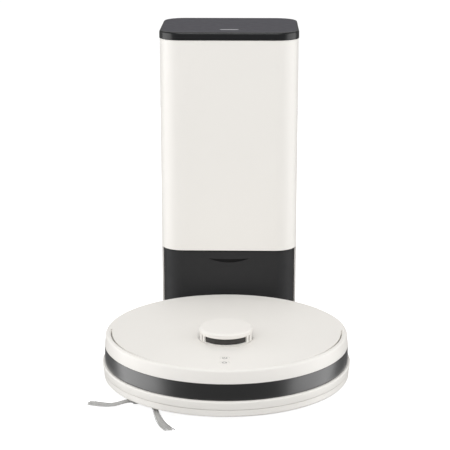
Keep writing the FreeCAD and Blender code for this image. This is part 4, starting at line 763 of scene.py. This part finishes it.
def roller_brush():
    half = ROLLER_L / 2
    core = lathed([(0, -half - 5, 0), (4.0, -half - 5, 0.5), (4.0, -half - 0.5, 0),
                   (9.0, -half - 0.5, 0.6), (9.0, -half + 3, 0), (12.0, -half + 3, 0.6),
                   (12.0, half - 3, 0.6), (9.0, half - 3, 0), (9.0, half + 0.5, 0.6),
                   (4.0, half + 0.5, 0), (4.0, half + 10.5, 0.5), (0, half + 10.5, 0)],
                  steps=64, arc_steps=3)
    on_x(core, 0, ROLLER_Y, ROLLER_Z)
    piece("roller_core", core, "roller_brush", "grey_plastic", replaces=["main_brush"])
    rng = random.Random(23)
    lines = []
    for row in range(ROWS):
        phase = math.radians(row * 120 + 30)
        for k in range(-TUFTS_HALF, TUFTS_HALF + 1):
            x = k * (half - 4) / TUFTS_HALF
            for _ in range(TUFT_HAIRS):
                lean = rng.gauss(0.0, 0.05)
                slip = rng.gauss(0.0, 0.9)
                tip = rng.uniform(0.96, 1.0) * ROLLER_R
                lines.append([roller_spot(x, BRISTLE_FOOT, phase),
                              roller_spot(x + slip * 0.4, BRISTLE_BEND, phase, lean * 0.4),
                              roller_spot(x + slip, tip, phase, lean)])
    piece("roller_bristles", strands(lines, BRISTLE_R, resolution=1, sides=0), "roller_brush",
          "bristle", finish="dark_bristle", crease=180)
    blades = bmesh.new()
    for row in range(ROWS):
        phase = math.radians(row * 120 + 90)
        blade = bmesh.new()
        bmesh.ops.create_grid(blade, x_segments=64, y_segments=6, size=0.5)
        for vert in blade.verts:
            x = vert.co.x * (ROLLER_L - 8)
            radius = 11.5 + (vert.co.y + 0.5) * (ROLLER_R - 12.0)
            lean = BLADE_SWEEP * (vert.co.y + 0.5) ** 2
            vert.co = Vector(roller_spot(x, radius, phase, lean)) * MM
        bmesh.ops.solidify(blade, geom=blade.faces[:], thickness=BLADE_T * MM)
        bmesh.ops.recalc_face_normals(blade, faces=blade.faces[:])
        add(blades, blade)
    piece("roller_blades", blades, "roller_brush", "brush_rubber")


# ---------------------------------------------------------------- robot: wheels
WHEEL_R = 30.0
WHEEL_X = 118.0
WHEEL_Y = ROBOT.y + 10.0
WHEEL_W = 22.0
LUGS = 30
LUG_TURN = 12              # degrees from one lug to the next
LUG_SLANT = 24
LUG_ROW_X = 4.9            # each row of lugs lies this far from the tyre's middle
SPOKES = 6


def wheel(side, sign):
    """Tyre with two staggered rows of slanted lugs, on a dished hub with spokes."""
    half = WHEEL_W / 2
    band = lathed([(24.0, -half + 1, 0), (26.6, -half + 1, 0), (28.2, -half + 1.6, 0.8),
                   (28.4, 0, 0), (28.2, half - 1.6, 0.8), (26.6, half - 1, 0),
                   (24.0, half - 1, 0)],
                  steps=96, arc_steps=3)
    for i in range(LUGS):
        for row in (-1, 1):
            lug = block(-1.35, 1.35, 27.6, 29.9, -4.3, 4.3, 0.5, 2)
            turn(lug, -row * LUG_SLANT, "Y")
            shift(lug, 0, 0, row * LUG_ROW_X)
            turn(lug, i * LUG_TURN + (row > 0) * LUG_TURN / 2, "Z")
            add(band, lug)
    on_x(band, sign * WHEEL_X, WHEEL_Y, WHEEL_R)
    piece(side + "_tread", band, side + "_wheel", "tyre_rubber", replaces=[side + "_tyre"])
    hub = lathed([(0, -half, 0), (24.0, -half, 0.8), (24.0, half, 0.8), (20.0, half, 0.6),
                  (19.0, half - 5, 1.0), (8.0, half - 5, 0.6), (7.0, half - 1, 0.8),
                  (0, half - 1, 0)], steps=96, arc_steps=3)
    for i in range(SPOKES):
        spoke = block(6.5, 20.5, -1.5, 1.5, half - 5.6, half - 1.2, 0.6)
        turn(spoke, i * 360 / SPOKES, "Z")
        add(hub, spoke)
    add(hub, rod(4.0, -half - 7.5, -half + 1, segments=40, bevel=0.3))
    if sign < 0:
        bmesh.ops.mirror(hub, geom=hub.verts[:] + hub.edges[:] + hub.faces[:], axis="Z",
                         merge_dist=-1)
        bmesh.ops.recalc_face_normals(hub, faces=hub.faces[:])
    on_x(hub, sign * WHEEL_X, WHEEL_Y, WHEEL_R)
    piece(side + "_spoked_hub", hub, side + "_wheel", "grey_plastic",
          replaces=[side + "_wheel_hub"])


# ---------------------------------------------------------------- robot: key marks, deck fittings
KEY_Y = {"power": ROBOT.y - 116.0, "home": ROBOT.y - 133.5}
MARK_Z0 = DECK_Z - 0.05
MARK_Z1 = DECK_Z + 0.08


def mark_bar(bm, x0, y0, x1, y1, width=0.8):
    """Flat stroke of a mark, from one point to the other."""
    length = math.hypot(x1 - x0, y1 - y0)
    bar = block(-length / 2 - width / 2, length / 2 + width / 2, -width / 2, width / 2,
                MARK_Z0, MARK_Z1)
    turn(bar, math.degrees(math.atan2(y1 - y0, x1 - x0)), "Z")
    shift(bar, (x0 + x1) / 2, (y0 + y1) / 2, 0)
    add(bm, bar)


def key_marks():
    """The usual signs: a broken ring with a stroke, and a house."""
    y = KEY_Y["power"]
    ring = lathed([(2.5, MARK_Z0, 0), (3.4, MARK_Z0, 0), (3.4, MARK_Z1, 0), (2.5, MARK_Z1, 0)],
                  (0, y), -145, 145)
    mark_bar(ring, 0, y + 0.6, 0, y + 3.4)
    piece("power_mark", ring, "power_key", "black_plastic", finish="icon_ink")
    y = KEY_Y["home"]
    house = bmesh.new()
    for x0, y0, x1, y1 in ((-3.2, 0.2, 0, 3.0), (0, 3.0, 3.2, 0.2), (-2.2, 0.2, -2.2, -2.6),
                           (2.2, 0.2, 2.2, -2.6), (-2.2, -2.6, 2.2, -2.6)):
        mark_bar(house, x0, y + y0, x1, y + y1, 0.7)
    piece("home_mark", house, "home_key", "black_plastic", finish="icon_ink")


FITTING_Z0 = 64.4          # just under the deck's face, so that each fitting sinks in
MAGNET_SPOTS = ((-120, -70), (120, -70), (-118, 82), (118, 82))
DECK_SCREW_SPOTS = ((-62, -108), (62, -108), (-98, 4), (98, 4), (-88, 112), (88, 112))


def deck_fittings():
    """On the deck under the cover: magnets that hold it, in cups, and the deck's screws."""
    cups = bmesh.new()
    discs = bmesh.new()
    cup = [(4.6, FITTING_Z0, 0), (7.4, FITTING_Z0, 0), (6.4, 66.0, 0.5), (4.6, 66.0, 0.3)]
    for x, y in MAGNET_SPOTS:
        spot = (ROBOT.x + x, ROBOT.y + y)
        add(cups, lathed(cup, spot, steps=48))
        add(discs, rod(4.5, FITTING_Z0, 65.7, spot, 40, 0.3))
    piece("magnet_cups", cups, "robot", "black_plastic")
    piece("magnets", discs, "robot", "steel")
    screws = bmesh.new()
    head = [(0, FITTING_Z0, 0), (2.9, FITTING_Z0, 0), (2.9, 64.9, 0), (2.1, 65.7, 0.6),
            (1.2, 65.7, 0.1), (1.0, 64.9, 0), (0, 64.9, 0)]
    for x, y in DECK_SCREW_SPOTS:
        add(screws, lathed(head, (ROBOT.x + x, ROBOT.y + y), steps=36, arc_steps=3))
    piece("deck_screws", screws, "robot", "steel")


# ---------------------------------------------------------------- station: bag and filters
BAG_HALF_W = 69.0
BAG_Y = (-70.0, 30.0)
BAG_Z = (300.0, 428.0)
BAG_CORNER_R = 16.0
BAG_EDGE_R = 12.0
GUSSET_DEPTH = 16.0
CLOTH_CELL = 5.0
BLOW_FRAMES = 20
SWELL = 4.5                # furthest that the air may push the fabric
BAG_LIMITS = ((-74.6, 74.6), (-74.6, 33.6), (292.0, 436.0))    # its chamber, less some play
BAG_PORT_Z = 385.0


def gusset_pull(vert, x_half, y_mid, y_half, depth):
    """Fold each narrow side inwards along its middle."""
    share = max(0.0, 1 - abs(vert.co.y / MM - y_mid) / y_half)
    reach = max(0.0, (abs(vert.co.x / MM) - x_half * 0.55) / (x_half * 0.45))
    vert.co.x -= math.copysign(depth * MM * share ** 1.5 * min(reach, 1.0), vert.co.x)


def dust_bag():
    """Non-woven bag, part filled: blown up by simulation inside its chamber, with folded sides."""
    y0, y1 = BAG_Y
    bm = raised(slab_corners(-BAG_HALF_W, BAG_HALF_W, y0, y1, BAG_CORNER_R), *BAG_Z, 5)
    soften(bm, BAG_EDGE_R, sharp, 4)
    mesh = bpy.data.meshes.new("dust_bag_soft")
    bm.to_mesh(mesh)
    bm.free()
    bag = bpy.data.objects.new("dust_bag_soft", mesh)
    bpy.context.scene.collection.objects.link(bag)
    remesh = bag.modifiers.new("remesh", "REMESH")
    remesh.mode = "VOXEL"
    remesh.voxel_size = CLOTH_CELL * MM
    apply_modifiers(bag)
    for vert in bag.data.vertices:
        gusset_pull(vert, BAG_HALF_W, (y0 + y1) / 2, (y1 - y0) / 2, GUSSET_DEPTH)
    start = [vert.co.copy() for vert in bag.data.vertices]
    cloth = bag.modifiers.new("cloth", "CLOTH")
    cloth.settings.use_pressure = True
    cloth.settings.uniform_pressure_force = 3.0
    cloth.settings.effector_weights.gravity = 0.0
    cloth.point_cache.frame_end = BLOW_FRAMES
    for step in range(1, BLOW_FRAMES + 1):
        bpy.context.scene.frame_set(step)
    apply_modifiers(bag)
    bpy.context.scene.frame_set(1)
    cap = SWELL * MM
    for vert, home in zip(bag.data.vertices, start):
        away = vert.co - home
        if away.length > cap:
            vert.co = home + away * (cap / away.length)
    bm = bmesh.new()
    bm.from_mesh(bag.data)
    bpy.data.objects.remove(bag)
    crumple(bm, 7, 1.6, 0.022)
    bmesh.ops.subdivide_edges(bm, edges=bm.edges[:], cuts=1, use_grid_fill=True, smooth=1.0)
    crumple(bm, 8, 0.5, 0.009)
    for vert in bm.verts:
        for axis, (least, most) in enumerate(BAG_LIMITS):
            vert.co[axis] = min(max(vert.co[axis], least * MM), most * MM)
    made = piece("dust_bag_fabric", bm, "bag", "bag_fabric", replaces=["dust_bag"], crease=70)


def crumple(bm, seed, depth, size):
    """Push each point along its normal by smooth noise, as slack cloth wrinkles."""
    bm.normal_update()
    moved = [(v, v.normal.copy(), v.co.copy()) for v in bm.verts]
    for vert, normal, place in moved:
        lift = noise.noise(place / size + Vector((seed, seed, seed)))
        ridge = 1 - abs(noise.noise(place / (size * 1.7) - Vector((seed, 0, 0)))) * 2
        vert.co = place + normal * (lift * 0.6 + ridge * 0.4 - 0.2) * depth * MM


def apply_modifiers(obj):
    """Bake an object's modifiers into its mesh."""
    graph = bpy.context.evaluated_depsgraph_get()
    graph.update()
    mesh = bpy.data.meshes.new_from_object(obj.evaluated_get(graph))
    obj.modifiers.clear()
    obj.data = mesh


def bag_fittings():
    """Rubber seal round the bag's port."""
    y = high("bag_collar").y
    seal = lathed([(16.2, 0, 0), (21.0, 0, 0.4), (20.6, 1.0, 0.4), (17.4, 1.0, 0.4)], steps=72,
                  arc_steps=3)
    turn(seal, -90, "X")
    shift(seal, 0, y - 0.05, BAG_PORT_Z)
    piece("bag_port_seal", seal, "bag", "soft_rubber")


def pleats(bm, x0, x1, y0, y1, z0, z1, pitch):
    """Pleated paper: folds run upright between the planes y0 and y1."""
    count = 2 * round((x1 - x0) / pitch)
    sheet = bmesh.new()
    bmesh.ops.create_grid(sheet, x_segments=count, y_segments=1, size=0.5)
    for vert in sheet.verts:
        column = round((vert.co.x + 0.5) * count)
        x = x0 + (x1 - x0) * (vert.co.x + 0.5)
        z = z0 + (z1 - z0) * (vert.co.y + 0.5)
        vert.co = Vector((x, y1 if column % 2 else y0, z)) * MM
    bmesh.ops.solidify(sheet, geom=sheet.faces[:], thickness=0.35 * MM)
    bmesh.ops.recalc_face_normals(sheet, faces=sheet.faces[:])
    add(bm, sheet)


def frame_of(x0, x1, y0, y1, z0, z1, wall):
    """Upright picture frame, open along Y."""
    inner = slab_corners(x0 + wall, x1 - wall, z0 + wall, z1 - wall, 1.0)
    bm = hoop(slab_corners(x0, x1, z0, z1, 2.0), inner, -y1, -y0, 3)
    soften(bm, 0.4, sharp, 2)
    turn(bm, 90, "X")
    return bm


FILTER_INNER = 32.0
FILTER_FEET = (60.0, 82.0)
FILTER_TOP = 160.0
FILTER_WALL = 2.0
PLEAT_INSET = 2.2
PLEAT_PITCH = 3.2


def exhaust_filters():
    """Pleated filters in their frames, behind the exhaust grille on both sides of the back."""
    paper = bmesh.new()
    frames = bmesh.new()
    y1 = BODY_HALF_D - SHELL_WALL
    outer = high("exhaust_filter").x
    spans = ((FILTER_INNER, outer), (-outer, -FILTER_INNER))
    for (x0, x1), z0 in zip(spans, FILTER_FEET):
        pleats(paper, x0 + PLEAT_INSET, x1 - PLEAT_INSET, y1 - 8.4, y1 - 1.2,
               z0 + PLEAT_INSET, FILTER_TOP - PLEAT_INSET, PLEAT_PITCH)
        add(frames, frame_of(x0, x1, y1 - 9.0, y1 - 0.5, z0, FILTER_TOP, FILTER_WALL))
    piece("exhaust_pleats", paper, "station", "filter_media", replaces=["exhaust_filter"],
          crease=20)
    piece("exhaust_filter_frames", frames, "station", "grey_plastic")


# ---------------------------------------------------------------- camera, light and floor
LENS = 119.53              # millimetres, on a sensor 36 wide
CAMERA_PLACE = (0.0372, -2.272, 0.7525)
CAMERA_DIP = 0.2573        # radians below the horizon
CAMERA_TURN = 0.01959
FLOOR_GLOW = 0.86
AMBIENT = 0.60
REFLECTED_AMBIENT = 0.17
BACKDROP = 1.05
CENTRE = (0.0, -0.25, 0.0)
LIGHTS = [
    ("left_softbox", (-2.4, -0.40, 0.0), CENTRE, (2.6, 2.8), 39.0, (1.0, 1.0, 1.0)),
    ("right_softbox", (2.4, -0.35, 0.0), CENTRE, (2.6, 2.8), 33.0, (1.0, 1.0, 1.0)),
    ("front_fill", (0.0, -2.6, 2.6), CENTRE, (2.4, 1.2), 34.0, (1.0, 1.0, 1.0)),
    ("overhead", (0.0, -0.3, 2.8), CENTRE, (2.4, 2.4), 9.0, (1.0, 1.0, 1.0)),
    ("rear_top", (0.0, 2.4, 2.2), CENTRE, (2.4, 1.2), 9.0, (1.0, 1.0, 1.0)),
]


def studio():
    scene = bpy.context.scene
    scene.view_settings.view_transform = "Standard"

    camera = bpy.data.cameras.new("camera")
    camera.lens = LENS
    camera.sensor_width = 36.0
    camera.clip_end = 50.0
    holder = bpy.data.objects.new("camera", camera)
    holder.location = CAMERA_PLACE
    holder.rotation_euler = (math.pi / 2 - CAMERA_DIP, 0.0, CAMERA_TURN)
    scene.collection.objects.link(holder)
    scene.camera = holder

    world = bpy.data.worlds.new("studio")
    world.use_nodes = True
    scene.world = world
    tree = world.node_tree
    backdrop = tree.nodes["Background"]
    backdrop.inputs["Color"].default_value = (1.0, 1.0, 1.0, 1.0)
    path = tree.nodes.new("ShaderNodeLightPath").outputs
    strength = AMBIENT
    for ray, level in (("Is Glossy Ray", REFLECTED_AMBIENT), ("Is Camera Ray", BACKDROP)):
        choose = tree.nodes.new("ShaderNodeMix")
        tree.links.new(path[ray], choose.inputs[0])
        if isinstance(strength, float):
            choose.inputs[2].default_value = strength
        else:
            tree.links.new(strength, choose.inputs[2])
        choose.inputs[3].default_value = level
        strength = choose.outputs[0]
    tree.links.new(strength, backdrop.inputs["Strength"])

    for name, place, aim, size, power, tint in LIGHTS:
        lamp = bpy.data.lights.new(name, "AREA")
        lamp.shape = "RECTANGLE"
        lamp.size, lamp.size_y = size
        lamp.energy = power
        lamp.color = tint
        stand = bpy.data.objects.new(name, lamp)
        stand.location = place
        stand.rotation_euler = (Vector(aim) - Vector(place)).to_track_quat("-Z", "Y").to_euler()
        scene.collection.objects.link(stand)

    bm = bmesh.new()
    bmesh.ops.create_grid(bm, x_segments=1, y_segments=1, size=3.0)
    mesh = bpy.data.meshes.new("floor")
    bm.to_mesh(mesh)
    bm.free()
    floor = bpy.data.objects.new("floor", mesh)
    finish = Finish("pale_floor", Roughness=0.9, Specular_IOR_Level=0.0, Emission_Color=tone(1.0))
    finish.feed("Base Color", finish.between(finish.noise(3.0), tone(0.60), tone(0.62)))
    seen = finish.node("ShaderNodeLightPath", out="Is Camera Ray")
    finish.feed("Emission Strength", seen * FLOOR_GLOW)
    away = finish.node("ShaderNodeVectorMath", {"operation": "LENGTH"}, {0: finish.place()},
                       out="Value")
    under = finish.node("ShaderNodeNewGeometry", out="Backfacing")
    finish.feed("Alpha", finish.spread(away, 1.0, 2.4, 1.0, 0.0) * (1 - under))
    mesh.materials.append(finish.material)
    floor.visible_glossy = False
    floor.visible_shadow = False
    scene.collection.objects.link(floor)


for node in NODES:
    finish_node(node)

studio()
bumper()
side_brush()
roller_brush()
wheel("left", -1)
wheel("right", 1)
key_marks()
deck_fittings()
dust_bag()
bag_fittings()
exhaust_filters()
